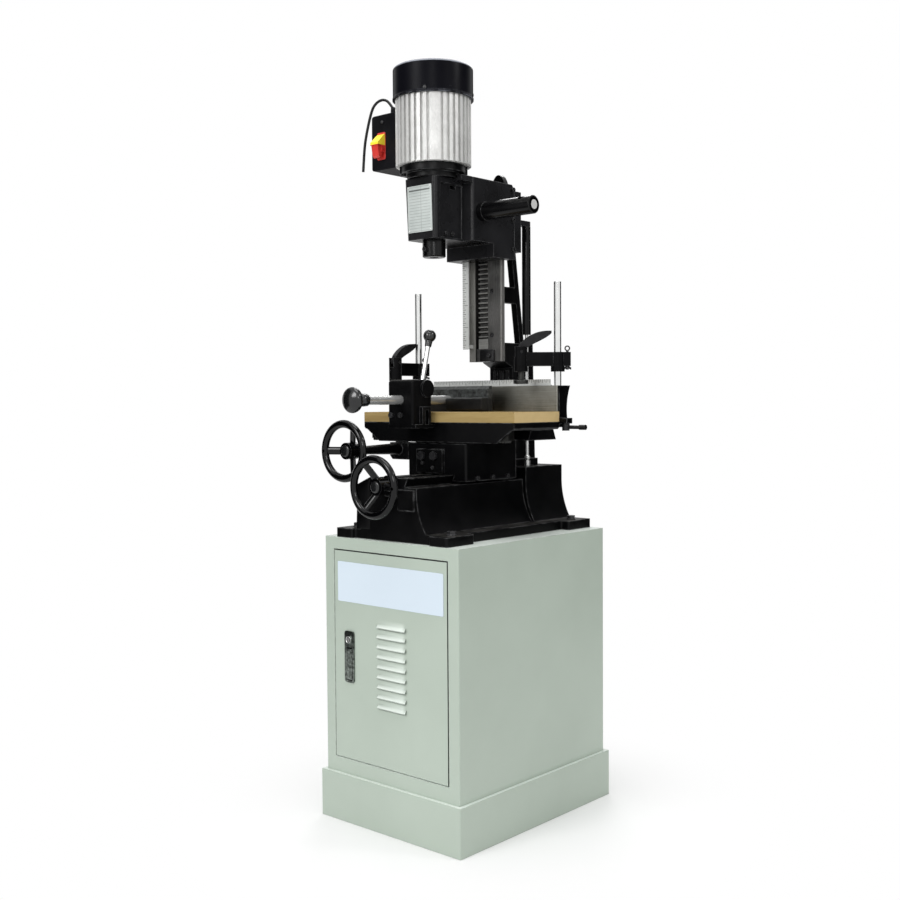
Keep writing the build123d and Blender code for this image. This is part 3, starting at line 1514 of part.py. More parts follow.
# Column: flanged foot, box-shaped lower body, slanted rear rib with two windows ahead of it
with BuildPart() as column:
    foot_top = pad_top + column_foot_thickness
    rib_rise = column_top - shoulder_top

    def rib_y(height):
        """Front of the slanted rib at a height."""
        return rib_foot_y + (rib_top_y - rib_foot_y) * (height - shoulder_top) / rib_rise

    flange_run = (column_flange_front, column_flange_back)
    block((-column_flange_half, column_flange_half), flange_run, (pad_top, foot_top))
    fillet(column.edges().filter_by(Axis.Z), column_foot_corner)
    with BuildSketch(Plane.YZ.offset(-column_half)):
        with BuildLine():
            Polyline(
                (column_front, foot_top),
                (column_front, column_knee),
                (bar_back, bar_bottom),
                (bar_back, shoulder_top),
                (rib_y(shoulder_top) + rib_thickness, shoulder_top),
                (column_back, foot_top),
                close=True,
            )
        make_face()
    extrude(amount=2 * column_half)
    fillet(column.edges().filter_by(Axis.Z).group_by(Axis.Y)[0], column_corner)
    with BuildSketch(Plane.YZ.offset(-rib_half)):
        with BuildLine():
            Polyline(
                (bar_back, shoulder_top),
                (bar_back, column_top),
                (rib_top_y + rib_thickness, column_top),
                (rib_y(shoulder_top) + rib_thickness, shoulder_top),
                close=True,
            )
        make_face()
    extrude(amount=2 * rib_half)
    for low, high in ((shoulder_top, web_low), (web_high, upper_window_top)):
        with BuildSketch(Plane.YZ.offset(-rib_half - cut_over)):
            with BuildLine():
                Polyline(
                    (bar_back, low),
                    (bar_back, high),
                    (rib_y(high), high),
                    (rib_y(low), low),
                    close=True,
                )
            make_face()
        extrude(amount=2 * (rib_half + cut_over), mode=Mode.SUBTRACT)
    for rib_x in (-column_half / 2, 0, column_half / 2):
        flute_start = (rib_x, column_front, foot_top)
        shaft(flute_start, (0, 0, 1), flute_radius, column_knee - foot_top - flute_drop)
keep(column, "column")

# Dovetail bar: machined steel with bevelled rear edges, a long recess for the rack and a lug on top
with BuildPart() as dovetail_bar:
    with BuildSketch(Plane.XY.offset(bar_bottom)):
        with BuildLine():
            Polyline(
                (-bar_half, bar_front),
                (bar_half, bar_front),
                (bar_half, bar_front + bar_edge),
                (bar_back_half, bar_back),
                (-bar_back_half, bar_back),
                (-bar_half, bar_front + bar_edge),
                close=True,
            )
        make_face()
    extrude(amount=bar_top - bar_bottom)
    with BuildSketch(Plane(origin=(lug_x_middle, bar_back, bar_top), x_dir=(1, 0, 0), z_dir=(0, -1, 0))):
        Ellipse(lug_half, lug_height)
        with Locations((0, -lug_height / 2)):
            Rectangle(2 * lug_half, lug_height, mode=Mode.SUBTRACT)
    extrude(amount=bar_depth - recess_depth - lug_back_gap)
    recess_y = (bar_front - cut_over, rack_floor)
    recess_z = (feed_rack_bottom, bar_top + cut_over)
    block((recess_left, recess_right), recess_y, recess_z, Mode.SUBTRACT)
    for screw_height in (bar_screw_low, bar_screw_high):
        seat = (bar_screw_x, bar_front, screw_height)
        shaft(seat, (0, 1, 0), bar_screw_radius + pass_gap, bar_screw_sunk, Mode.SUBTRACT)
keep(dovetail_bar, "dovetail_bar")

# Feed rack, teeth to the front, one tooth level with the idler at rest
with BuildPart() as feed_rack:
    above = int((bar_top - feed_z) / feed_pitch - 0.5)
    below = int((feed_z - feed_rack_bottom - rack_plain_end) / feed_pitch - 0.5)
    with BuildSketch(Plane.YZ.offset(rack_left)):
        with BuildLine():
            edge = []
            for height, place in rack_points(-below, above, feed_module):
                edge.append((rack_pitch_y - height, feed_z + place))
            plain_top = edge[0][1] - cut_over
            plain_y = rack_pitch_y - tooth_rise * feed_module
            upper_line = [(edge[-1][0], bar_top), (rack_floor, bar_top)]
            lower_line = [
                (rack_floor, feed_rack_bottom),
                (plain_y, feed_rack_bottom),
                (plain_y, plain_top),
                (edge[0][0], plain_top),
            ]
            Polyline(edge + upper_line + lower_line, close=True)
        make_face()
    extrude(amount=rack_right - rack_left)
keep(feed_rack, "feed_rack")

# Depth scale: flat rule with a foot screwed to the bar
with BuildPart() as depth_scale:
    scale_x = (scale_left, scale_left + scale_width)
    block(scale_x, (scale_y, scale_y + scale_thickness), (scale_bottom, scale_top))
    foot_run = (scale_left + scale_foot_set, scale_left + scale_width)
    scale_foot_bottom = scale_bottom + scale_foot_rise
    scale_foot_z = (scale_foot_bottom, scale_foot_bottom + scale_foot_height)
    block(foot_run, (scale_y + scale_thickness, bar_front), scale_foot_z)
keep(depth_scale, "depth_scale")

# Frame bolts: base feet and socket screws of the bar
with BuildPart() as frame_bolts:
    for bolt_x in (-foot_x, foot_x):
        for bolt_y in (foot_front_y, foot_back_y):
            seat = cabinet_height + base_flange_height
            shaft((bolt_x, bolt_y, seat), (0, 0, 1), washer_radius, washer_thickness)
            head_seat = (bolt_x, bolt_y, seat + washer_thickness)
            hex_head(head_seat, (0, 0, 1), bolt_head_across, bolt_head_height)
            shank_start = (bolt_x, bolt_y, cabinet_height - sheet)
            shaft(shank_start, (0, 0, 1), bolt_radius, base_flange_height + sheet)
            nut_start = (bolt_x, bolt_y, cabinet_height - sheet)
            hex_head(nut_start, (0, 0, -1), bolt_head_across, bolt_head_height)
    for screw_height in (bar_screw_low, bar_screw_high):
        seat = (bar_screw_x, bar_front + bar_screw_sunk, screw_height)
        socket_head(seat, (0, -1, 0), bar_screw_radius, bar_screw_head)
keep(frame_bolts, "frame_bolts")

# Head casting: slide housing with a slot for the bar, a gear chamber and a slot for the scale
gear_left = rack_left + gear_end_gap
gear_right = rack_right - gear_end_gap
with BuildPart() as head_casting:
    with BuildSketch(Plane.YZ.offset(-head_half)):
        with BuildLine():
            Polyline(
                (head_front, head_bottom),
                (head_step_front, head_bottom),
                (head_step_front, head_step_bottom),
                (head_back, head_step_bottom),
                (head_back, head_top - head_bevel_drop),
                (head_back - head_bevel_set, head_top),
                (head_front, head_top),
                close=True,
            )
        make_face()
    extrude(amount=2 * head_half)
    fillet(head_casting.edges().filter_by(Axis.Z).group_by(Axis.Y)[0], head_corner)
    for side in (-1, 1):
        shelf_x = sorted((side * (block_half + pass_gap), side * head_half))
        block(shelf_x, (shelf_front, head_front), (head_top - shelf_thickness, head_top))
    ring_notch = (0, spindle_y, block_top - drop_gap)
    shaft(ring_notch, (0, 0, 1), neck_ring_radius + pass_gap, 2 * shelf_rise, Mode.SUBTRACT)
    slot_x = (-bar_half - slide_gap, bar_half + slide_gap)
    slot_y = (bar_front - slide_gap, head_back + cut_over)
    through_z = (head_step_bottom - cut_over, head_top + cut_over)
    block(slot_x, slot_y, through_z, Mode.SUBTRACT)
    chamber_left = (gear_left - gear_side_gap, feed_y, feed_z)
    chamber_width = gear_right - gear_left + 2 * gear_side_gap
    chamber_gap = tooth_rise * feed_module + gear_tip_room
    shaft(chamber_left, (1, 0, 0), feed_radius + chamber_gap, chamber_width, Mode.SUBTRACT)
    idler_left = (gear_left - gear_side_gap, idler_y, feed_z)
    shaft(idler_left, (1, 0, 0), idler_radius + chamber_gap, chamber_width, Mode.SUBTRACT)
    feed_bore_start = (feed_shaft_inner - gear_tip_room, feed_y, feed_z)
    feed_bore_run = head_half - feed_bore_start[0] + cut_over
    shaft(feed_bore_start, (1, 0, 0), feed_shaft_radius + bearing_gap, feed_bore_run, Mode.SUBTRACT)
    idler_bore_start = (idler_journal_left - gear_tip_room, idler_y, feed_z)
    idler_bore_run = idler_journal_right - idler_journal_left + 2 * gear_tip_room
    shaft(idler_bore_start, (1, 0, 0), idler_journal_radius + bearing_gap, idler_bore_run, Mode.SUBTRACT)
    slit_x = (scale_left - slit_side_room, scale_left + scale_width + slit_side_room)
    slit_y = (scale_y - slit_room, scale_y + scale_thickness + slit_room)
    block(slit_x, slit_y, through_z, Mode.SUBTRACT)
keep(head_casting, "head_casting")

# Keepers behind the bar; the right one carries the arm of the gas strut
with BuildPart() as slide_keepers:
    bevel = (bar_half - bar_back_half) / (bar_depth - bar_edge)
    keeper_edge = bar_half - bevel * (head_back - bar_front - bar_edge) + 2 * slide_gap
    for side in (-1, 1):
        with BuildSketch(Plane.XY.offset(keeper_bottom)):
            with BuildLine():
                Polyline(
                    (side * keeper_edge, head_back),
                    (side * (bar_back_half + 2 * slide_gap), bar_back),
                    (side * (bar_back_half + 2 * slide_gap), keeper_back),
                    (side * head_half, keeper_back),
                    (side * head_half, head_back),
                    close=True,
                )
            make_face()
        extrude(amount=keeper_top - keeper_bottom)
    arm_x = (strut_x - strut_arm_half, strut_x + strut_arm_half)
    arm_z = (strut_tube_top, strut_tube_top + strut_arm_thickness)
    block(arm_x, (keeper_back, strut_y + strut_tube_radius), arm_z)
    fillet(slide_keepers.edges().filter_by(Axis.Z).group_by(Axis.Y)[-1], strut_arm_corner)
keep(slide_keepers, "slide_keepers")

# Feed shaft with its pinion
with BuildPart() as feed_shaft:
    shaft((feed_shaft_inner, feed_y, feed_z), (1, 0, 0), feed_shaft_radius, hub_end - feed_shaft_inner)
    with BuildSketch(Plane(origin=(gear_left, feed_y, feed_z), x_dir=(0, 1, 0), z_dir=(1, 0, 0))):
        with BuildLine():
            Polyline(gear_points(feed_teeth, feed_module, 0), close=True)
        make_face()
    extrude(amount=gear_right - gear_left)
    lever_hole_x = hub_end - lever_hole_inset
    hole_direction = Vector(0, -0.5, 0.87)
    hole_start = Vector(lever_hole_x, feed_y, feed_z) - hole_direction * 2 * hub_tube_radius
    shaft(hole_start, hole_direction, lever_hole_radius, 4 * hub_tube_radius, Mode.SUBTRACT)
keep(feed_shaft, "feed_shaft")

# Feed hub: tube on the shaft with a cross hole for the lever
with BuildPart() as feed_hub:
    hub_start_x = head_half + drop_gap
    shaft((hub_start_x, feed_y, feed_z), (1, 0, 0), hub_tube_radius, hub_end - hub_start_x)
    chamfer(feed_hub.faces().sort_by(Axis.X)[-1].edges(), hub_chamfer)
    shaft((hub_start_x, feed_y, feed_z), (1, 0, 0), hub_collar_radius, hub_collar_length)
    shaft((hub_start_x - cut_over, feed_y, feed_z), (1, 0, 0), feed_shaft_radius, hub_end, Mode.SUBTRACT)
    shaft(hole_start, hole_direction, lever_hole_radius, 4 * hub_tube_radius, Mode.SUBTRACT)
keep(feed_hub, "feed_hub")

# Idler gear between the feed pinion and the rack, with its own journals
with BuildPart() as idler_gear:
    idler_run = idler_journal_right - idler_journal_left
    shaft((idler_journal_left, idler_y, feed_z), (1, 0, 0), idler_journal_radius, idler_run)
    with BuildSketch(Plane(origin=(gear_left, idler_y, feed_z), x_dir=(0, 1, 0), z_dir=(1, 0, 0))):
        with BuildLine():
            Polyline(gear_points(idler_teeth, feed_module, pi / idler_teeth), close=True)
        make_face()
    extrude(amount=gear_right - gear_left)
keep(idler_gear, "idler_gear")

# Spindle block: chuck chamber, recessed side panels, chuck-key window, neck to the head casting
with BuildPart() as spindle_block:
    foot_middle = (block_foot_front + block_back) / 2
    with BuildSketch(Plane(origin=(0, foot_middle, block_bottom))):
        RectangleRounded(2 * block_foot_half, block_back - block_foot_front, block_corner)
    top_middle = (block_front + block_back) / 2
    with BuildSketch(Plane(origin=(0, top_middle, block_top))):
        RectangleRounded(2 * block_half, block_back - block_front, block_corner)
    loft()
    block((-neck_half, neck_half), (block_back - block_corner, block_back), (block_bottom, block_top))
    chamber_start = (0, spindle_y, block_bottom + block_floor)
    shaft(chamber_start, (0, 0, 1), chuck_bore, block_top, Mode.SUBTRACT)
    spigot_start = (0, spindle_y, block_bottom - cut_over)
    shaft(spigot_start, (0, 0, 1), bush_spigot_radius, block_floor + 2 * cut_over, Mode.SUBTRACT)
    panel_y = (block_front + 2 * block_corner, block_back - panel_back_set)
    panel_z = (block_bottom + panel_low_set, block_top - panel_top_set)
    for side in (-1, 1):
        panel_x = sorted((side * (block_foot_half - panel_depth), side * (block_half + cut_over)))
        block(panel_x, panel_y, panel_z, Mode.SUBTRACT)
    window_y = (spindle_y + window_set, spindle_y + window_set + chuck_window)
    window_top = panel_z[1] - window_top_gap
    window_z = (window_top - chuck_window / 2, window_top)
    block((0, block_half + cut_over), window_y, window_z, Mode.SUBTRACT)
keep(spindle_block, "spindle_block")

# Chisel bush: bored for the chisel shank, with a spigot in the block's floor
with BuildPart() as chisel_bush:
    shaft((0, spindle_y, bush_bottom), (0, 0, 1), bush_radius, block_bottom - bush_bottom)
    chamfer(chisel_bush.faces().sort_by(Axis.Z)[0].edges(), bush_chamfer)
    shaft((0, spindle_y, block_bottom), (0, 0, 1), bush_spigot_radius, block_floor)
    bush_run = block_bottom + block_floor - bush_bottom + 2 * cut_over
    shaft((0, spindle_y, bush_bottom - cut_over), (0, 0, 1), bush_bore, bush_run, Mode.SUBTRACT)
    set_screw_z = bush_bottom + set_screw_rise
    set_hole = (0, spindle_y - bush_bore, set_screw_z)
    shaft(set_hole, (0, -1, 0), set_screw_radius + bearing_gap, bush_radius, Mode.SUBTRACT)
keep(chisel_bush, "chisel_bush")

# Motor flange: neck ring and bolt ears
with BuildPart() as motor_flange:
    with BuildSketch(Plane(origin=(0, spindle_y, block_top))):
        Circle(neck_ring_radius)
    extrude(amount=motor_flange_bottom - block_top)
    with BuildSketch(Plane(origin=(0, spindle_y, motor_flange_bottom))):
        Circle(motor_flange_radius)
        with PolarLocations(ear_circle, 2, start_angle=45):
            Circle(ear_radius)
    extrude(amount=motor_bottom - motor_flange_bottom)
    flange_height = motor_bottom - block_top + 2 * cut_over
    flange_bore = (0, spindle_y, block_top - cut_over)
    shaft(flange_bore, (0, 0, 1), chuck_bore, flange_height, Mode.SUBTRACT)
keep(motor_flange, "motor_flange")

# Motor body: finned aluminium shell with four plain pads, bearing bores in its end walls
# and a seat for the switch box
with BuildPart() as motor_body:
    motor_axis_foot = Plane(origin=(0, spindle_y, motor_bottom))
    with BuildSketch(motor_axis_foot):
        Circle(motor_core_radius)
        with PolarLocations(motor_core_radius, fin_count):
            Rectangle(2 * fin_height, fin_width)
        with PolarLocations(motor_core_radius - motor_pad_root, 4, start_angle=45):
            Rectangle(2 * (fin_height + motor_pad_root), motor_pad_width)
        Circle(fin_radius, mode=Mode.INTERSECT)
    extrude(amount=motor_length)
    with BuildSketch(motor_axis_foot.offset(motor_length - motor_ring)):
        Circle(fin_radius)
    extrude(amount=motor_ring)
    seat_x = (box_right, box_seat_root - motor_core_radius)
    seat_y = (spindle_y - box_seat_half, spindle_y + box_seat_half)
    block(seat_x, seat_y, (box_bottom + box_seat_set, box_top - box_seat_set))
    inside_start = (0, spindle_y, motor_bottom + motor_end_wall)
    shaft(inside_start, (0, 0, 1), stator_radius, motor_length - 2 * motor_end_wall, Mode.SUBTRACT)
    bearing_start = (0, spindle_y, motor_bottom - cut_over)
    bearing_run = motor_length + 2 * cut_over
    shaft(bearing_start, (0, 0, 1), shaft_radius + bearing_gap, bearing_run, Mode.SUBTRACT)
keep(motor_body, "motor_body")

# Fan cover: pressed cap with a flared rim, rounded shoulder and air slots in its top
with BuildPart() as fan_cover:
    cover_plane = Plane(origin=(0, spindle_y, 0), x_dir=(1, 0, 0), z_dir=(0, -1, 0))
    with BuildSketch(cover_plane):
        with BuildLine():
            Polyline(
                (fin_radius + drop_gap, cover_bottom),
                (cover_flare, cover_bottom),
                (cover_flare, cover_bottom + cover_rim_height),
                (cover_radius, cover_bottom + cover_rim_height + cover_rim_slope),
                (cover_radius, cover_top - cover_shoulder),
            )
            RadiusArc(
                (cover_radius, cover_top - cover_shoulder),
                (cover_radius - cover_shoulder, cover_top),
                -cover_shoulder,
            )
            inner_shoulder = cover_shoulder - cover_wall
            Polyline(
                (cover_radius - cover_shoulder, cover_top),
                (0, cover_top),
                (0, cover_top - cover_wall),
                (cover_radius - cover_shoulder, cover_top - cover_wall),
            )
            RadiusArc(
                (cover_radius - cover_shoulder, cover_top - cover_wall),
                (cover_radius - cover_wall, cover_top - cover_shoulder),
                inner_shoulder,
            )
            Polyline(
                (cover_radius - cover_wall, cover_top - cover_shoulder),
                (cover_radius - cover_wall, motor_top),
                (fin_radius + drop_gap, motor_top),
                (fin_radius + drop_gap, cover_bottom),
            )
        make_face()
    revolve(axis=Axis((0, spindle_y, 0), (0, 0, 1)))
    with BuildSketch(Plane(origin=(0, spindle_y, cover_top - 2 * cover_wall))):
        with PolarLocations(fan_radius * 0.6, air_slot_count):
            SlotOverall(fan_radius * 0.6, air_slot_width)
    extrude(amount=3 * cover_wall, mode=Mode.SUBTRACT)
keep(fan_cover, "fan_cover")

# Rotor: shaft with rotor core, cooling fan above and drill chuck below
with BuildPart() as motor_rotor:
    chuck_bottom = block_bottom + block_floor + chuck_lift
    shaft_foot = chuck_bottom + shaft_in_chuck
    shaft_run = motor_top + shaft_above_motor - shaft_foot
    shaft((0, spindle_y, shaft_foot), (0, 0, 1), shaft_radius, shaft_run)
    core_gap = motor_end_wall + core_end_gap
    core_start = (0, spindle_y, motor_bottom + core_gap)
    shaft(core_start, (0, 0, 1), rotor_radius, motor_length - 2 * core_gap)
    chuck_body = chuck_bottom + chuck_nose
    shaft((0, spindle_y, chuck_body), (0, 0, 1), chuck_radius, chuck_height - chuck_nose)
    with Locations((0, spindle_y, chuck_bottom + chuck_nose / 2)):
        Cone(chuck_radius * 0.55, chuck_radius, chuck_nose)
    fan_bottom = motor_top + fan_lift
    shaft((0, spindle_y, fan_bottom), (0, 0, 1), fan_radius, fan_disc)
    with BuildSketch(Plane(origin=(0, spindle_y, fan_bottom + fan_disc))):
        with PolarLocations(fan_radius * 0.6, fan_blade_count):
            Rectangle(fan_radius * 0.7, fan_blade_thickness)
    extrude(amount=fan_blade_height)
keep(motor_rotor, "motor_rotor")

# Head fasteners: motor ears, side of the head casting, chisel set screw, keeper screws
with BuildPart() as head_screws:
    ear_step = ear_circle * cos(radians(45))
    for ear_side in (-ear_step, ear_step):
        ear_point = (ear_side, spindle_y + ear_side, motor_flange_bottom)
        hex_head(ear_point, (0, 0, -1), ear_bolt_across, ear_bolt_height)
    for side in (-1, 1):
        for screw_height in (keeper_bottom + keeper_screw_inset, keeper_top - keeper_screw_inset):
            seat = (side * (bar_half + keeper_screw_set), keeper_back, screw_height)
            socket_head(seat, (0, 1, 0), head_screw_radius, head_screw_head)
    upper_side_screw = head_top - side_screw_top
    middle_side_screw = feed_z - side_screw_middle
    lower_side_screw = head_step_bottom + side_screw_low
    for screw_height in (upper_side_screw, middle_side_screw, lower_side_screw):
        seat = (head_half, head_back - side_screw_set, screw_height)
        socket_head(seat, (1, 0, 0), head_screw_radius, head_screw_head)
    panel_face = block_foot_half - panel_depth
    first_panel_screw = spindle_y - panel_screw_front
    for screw_y in (first_panel_screw, first_panel_screw + panel_screw_spacing):
        seat = (panel_face, screw_y, panel_z[0] + panel_screw_rise)
        socket_head(seat, (1, 0, 0), panel_screw_radius, panel_screw_head)
    set_screw_start = (0, spindle_y - bush_bore - set_screw_gap, set_screw_z)
    set_screw_run = bush_radius - bush_bore + set_screw_proud
    shaft(set_screw_start, (0, -1, 0), set_screw_radius, set_screw_run)
keep(head_screws, "head_screws")

# Switch box with rounded corners
with BuildPart() as switch_box:
    block((box_left, box_right), (box_front, box_back), (box_bottom, box_top))
    fillet(switch_box.edges().filter_by(Axis.Y), box_corner)
    chamfer(switch_box.faces().sort_by(Axis.Y)[0].edges(), box_front_edge)
keep(switch_box, "switch_box")

# Switch hood: a wedge over the paddle, with a cheek at each side for the paddle's pin
hood_x = (hood_left, hood_left + hood_width)
hood_nose_y = box_front - hood_reach
paddle_x = (hood_x[0] + cheek_thickness + drop_gap, hood_x[1] - cheek_thickness - drop_gap)
paddle_pivot_y = box_front - cheek_depth + paddle_pin_set
paddle_pivot_z = hood_bottom - paddle_pin_set
with BuildPart() as switch_bezel:
    with BuildSketch(Plane.YZ.offset(hood_x[0])):
        with BuildLine():
            Polyline(
                (box_front, hood_top),
                (box_front - hood_brow, hood_top),
                (hood_nose_y, hood_bottom + hood_lip),
                (hood_nose_y, hood_bottom),
                (box_front, hood_bottom),
                close=True,
            )
        make_face()
    extrude(amount=hood_width)
    for cheek_start in (hood_x[0], hood_x[1] - cheek_thickness):
        cheek_x = (cheek_start, cheek_start + cheek_thickness)
        cheek_z = (hood_bottom - cheek_height, hood_bottom)
        block(cheek_x, (box_front - cheek_depth, box_front), cheek_z)
    pin_hole = (hood_x[0] - cut_over, paddle_pivot_y, paddle_pivot_z)
    pin_hole_run = hood_width + 2 * cut_over
    shaft(pin_hole, (1, 0, 0), paddle_pin_radius + bearing_gap, pin_hole_run, Mode.SUBTRACT)
keep(switch_bezel, "switch_bezel")

# Switch paddle, hinged under the hood
paddle_nose_y = hood_nose_y + paddle_nose_set
with BuildPart() as switch_paddle:
    with BuildSketch(Plane.YZ.offset(paddle_x[0])):
        with BuildLine():
            Polyline(
                (paddle_pivot_y + paddle_back, hood_bottom - paddle_pin_set / 2),
                (paddle_pivot_y - paddle_heel, hood_bottom - drop_gap),
                (paddle_nose_y, hood_bottom - drop_gap),
                (paddle_nose_y + paddle_toe, paddle_bottom + paddle_toe),
                (paddle_nose_y + 2 * paddle_toe, paddle_bottom),
                (paddle_pivot_y - paddle_slope, paddle_bottom),
                (paddle_pivot_y + paddle_back, paddle_pivot_z - paddle_heel),
                close=True,
            )
        make_face()
    extrude(amount=paddle_x[1] - paddle_x[0])
    pin_start = (hood_x[0] + paddle_pin_end, paddle_pivot_y, paddle_pivot_z)
    shaft(pin_start, (1, 0, 0), paddle_pin_radius, hood_width - 2 * paddle_pin_end)
keep(switch_paddle, "switch_paddle")

# Route of the power cord from the foot of its gland, as steps along X and Z
cord_route = [
    (-19.7, 28.3),
    (-38.7, 36.3),
    (-58.9, 32.3),
    (-74.2, 18.3),
    (-93.5, -39),
    (-99.5, -74),
    (-102.7, -115),
]

# Cord gland on top of the switch box
with BuildPart() as cord_gland:
    gland_lean = Vector(cord_route[0][0], 0, cord_route[0][1]).normalized()
    gland_foot = Vector(gland_x, gland_y, box_top)
    shaft(gland_foot - gland_lean * gland_radius, gland_lean, gland_radius, gland_height)
    cone_place = gland_foot + gland_lean * (gland_height - gland_radius)
    with Locations(Plane(origin=cone_place, z_dir=gland_lean).location):
        gland_tip = cord_radius + gland_lip
        Cone(gland_radius, gland_tip, gland_radius, align=(Align.CENTER, Align.CENTER, Align.MIN))
    below_x = (gland_x - 2 * gland_height, gland_x + 2 * gland_height)
    below_y = (gland_y - 2 * gland_height, gland_y + 2 * gland_height)
    block(below_x, below_y, (box_top - 2 * gland_height, box_top), Mode.SUBTRACT)
keep(cord_gland, "cord_gland")

# Power cord, in the plane of its gland, as far as it is shown
cord_points = [gland_foot + gland_lean * gland_height]
cord_points.extend(gland_foot + Vector(x, 0, z) for x, z in cord_route)
cord_bends = []
for before, corner, after in zip(cord_points, cord_points[1:], cord_points[2:]):
    into = corner - before
    out = after - corner
    turn = into.get_angle(out)
    cord_bends.append(0.45 * min(into.length, out.length) / tan(radians(turn / 2)))
print("cord bend radii", [round(bend, 1) for bend in cord_bends])
with BuildPart() as power_cord:
    with BuildLine() as cord_line:
        FilletPolyline(*cord_points, radius=cord_bends)
    with BuildSketch(Plane(origin=cord_points[0], z_dir=cord_points[1] - cord_points[0])):
        Circle(cord_radius)
    sweep()
cord_length = cord_line.wire().length
cord_volume = pi * cord_radius**2 * cord_length
print("cord length", round(cord_length, 1), "volume share", round(power_cord.part.volume / cord_volume, 4))
keep(power_cord, "power_cord")

# Gas strut: tube under the keeper's arm
with BuildPart() as strut_tube:
    shaft((strut_x, strut_y, strut_tube_bottom), (0, 0, 1), strut_tube_radius, strut_tube_length)
    tube_bore = strut_tube_radius - strut_wall
    bore_bottom = strut_tube_bottom + strut_end_wall
    bore_run = strut_tube_length - 2 * strut_end_wall
    shaft((strut_x, strut_y, bore_bottom), (0, 0, 1), tube_bore, bore_run, Mode.SUBTRACT)
    gland_bore = strut_rod_radius + bearing_gap
    gland_start = (strut_x, strut_y, strut_tube_bottom - cut_over)
    shaft(gland_start, (0, 0, 1), gland_bore, strut_end_wall + 2 * cut_over, Mode.SUBTRACT)
keep(strut_tube, "strut_tube")

# Rod of the gas strut, with its piston and a ball seat on the base casting's rear pad
with BuildPart() as strut_rod:
    piston_bottom = bore_bottom + piston_rise
    rod_run = piston_bottom - pad_top
    shaft((strut_x, strut_y, pad_top), (0, 0, 1), strut_rod_radius, rod_run)
    piston_radius = tube_bore - slide_gap
    shaft((strut_x, strut_y, piston_bottom), (0, 0, 1), piston_radius, piston_height)
    shaft((strut_x, strut_y, pad_top), (0, 0, 1), strut_ball_radius, strut_seat)
    with Locations((strut_x, strut_y, pad_top + strut_seat + strut_ball_radius)):
        Sphere(strut_ball_radius)
keep(strut_rod, "strut_rod")
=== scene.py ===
# %% [markdown]
# # Dressing a hollow chisel mortiser
# The machine stands on a pale sheet-metal cabinet and carries a finned motor on a rack-fed head.
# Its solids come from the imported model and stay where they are. This lesson gives every solid its
# real finish, adds the small pieces that a photograph shows, and sets up a plain studio.

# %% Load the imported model
import math
import bpy
from mathutils import Matrix, Vector


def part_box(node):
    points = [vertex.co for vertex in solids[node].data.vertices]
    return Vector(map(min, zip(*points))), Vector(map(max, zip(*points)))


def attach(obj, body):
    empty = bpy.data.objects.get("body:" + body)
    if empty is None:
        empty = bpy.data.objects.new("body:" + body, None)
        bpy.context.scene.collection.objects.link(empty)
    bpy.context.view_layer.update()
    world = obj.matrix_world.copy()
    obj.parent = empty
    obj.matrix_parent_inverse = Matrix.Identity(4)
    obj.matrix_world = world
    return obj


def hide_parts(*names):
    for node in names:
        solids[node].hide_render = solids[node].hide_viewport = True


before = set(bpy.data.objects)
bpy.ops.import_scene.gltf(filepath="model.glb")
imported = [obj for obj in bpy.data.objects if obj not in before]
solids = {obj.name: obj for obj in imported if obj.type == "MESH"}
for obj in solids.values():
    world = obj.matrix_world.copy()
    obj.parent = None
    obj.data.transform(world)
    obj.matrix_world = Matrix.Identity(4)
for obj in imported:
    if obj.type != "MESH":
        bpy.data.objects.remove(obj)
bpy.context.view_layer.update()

# %% [markdown]
# ## The camera
# The photograph was taken from the front right at about chest height, with a normal lens. A camera
# can be turned by eye until edges line up, or solved from vanishing points. It was solved here, so
# the numbers are the turn, the tilt, a very small roll and the place of the lens.

# %% Camera
def turn_about(axis, degrees):
    """A turn about one axis, as a matrix."""
    return Matrix.Rotation(math.radians(degrees), 4, axis)


camera_place = Matrix.Translation((1.72015, -1.98606, 0.91332))
camera_turn = turn_about("Z", 41.72)
camera_tilt = turn_about("X", 90 - 2.38)
camera_roll = turn_about("Z", -0.38)
camera_data = bpy.data.cameras.new("studio_camera")
camera_data.sensor_width = 36
camera_data.lens = 46.85
camera = bpy.data.objects.new("studio_camera", camera_data)
bpy.context.scene.collection.objects.link(camera)
camera.matrix_world = camera_place @ camera_turn @ camera_tilt @ camera_roll
bpy.context.scene.camera = camera
print("camera at", [round(c, 3) for c in camera.matrix_world.translation])

# %% [markdown]
# ## Helpers for shader nodes
# A finish is a small network of nodes. It can be drawn by hand in the shader editor, or written as
# code. In code, each kind of node that comes back often gets a short function, which returns the
# socket that the next node needs. A network then reads like a recipe.

# %% Node helpers
def put(tree, kind, sockets=None, **settings):
    """Add a shader node, set its options, then set or link its inputs."""
    made = tree.nodes.new(kind)
    for name, value in settings.items():
        setattr(made, name, value)
    for name, value in (sockets or {}).items():
        if isinstance(value, bpy.types.NodeSocket):
            tree.links.new(value, made.inputs[name])
        else:
            made.inputs[name].default_value = value
    return made


def reckon(tree, operation, *values, clamp=False):
    """The result of one step of arithmetic."""
    terms = dict(enumerate(values))
    return put(tree, "ShaderNodeMath", terms, operation=operation, use_clamp=clamp).outputs[0]


def ramp(tree, value, start, end, low=0.0, high=1.0, smooth=False):
    """A value that goes from low to high while another one goes from start to end."""
    limits = {"Value": value, "From Min": start, "From Max": end, "To Min": low, "To Max": high}
    rise = "SMOOTHSTEP" if smooth else "LINEAR"
    return put(tree, "ShaderNodeMapRange", limits, interpolation_type=rise).outputs["Result"]


def mix(tree, share, first, second):
    """A colour that lies a share of the way from the first to the second."""
    parts = {"Fac": share, "Color1": first, "Color2": second}
    return put(tree, "ShaderNodeMixRGB", parts).outputs[0]


print("node helpers ready")

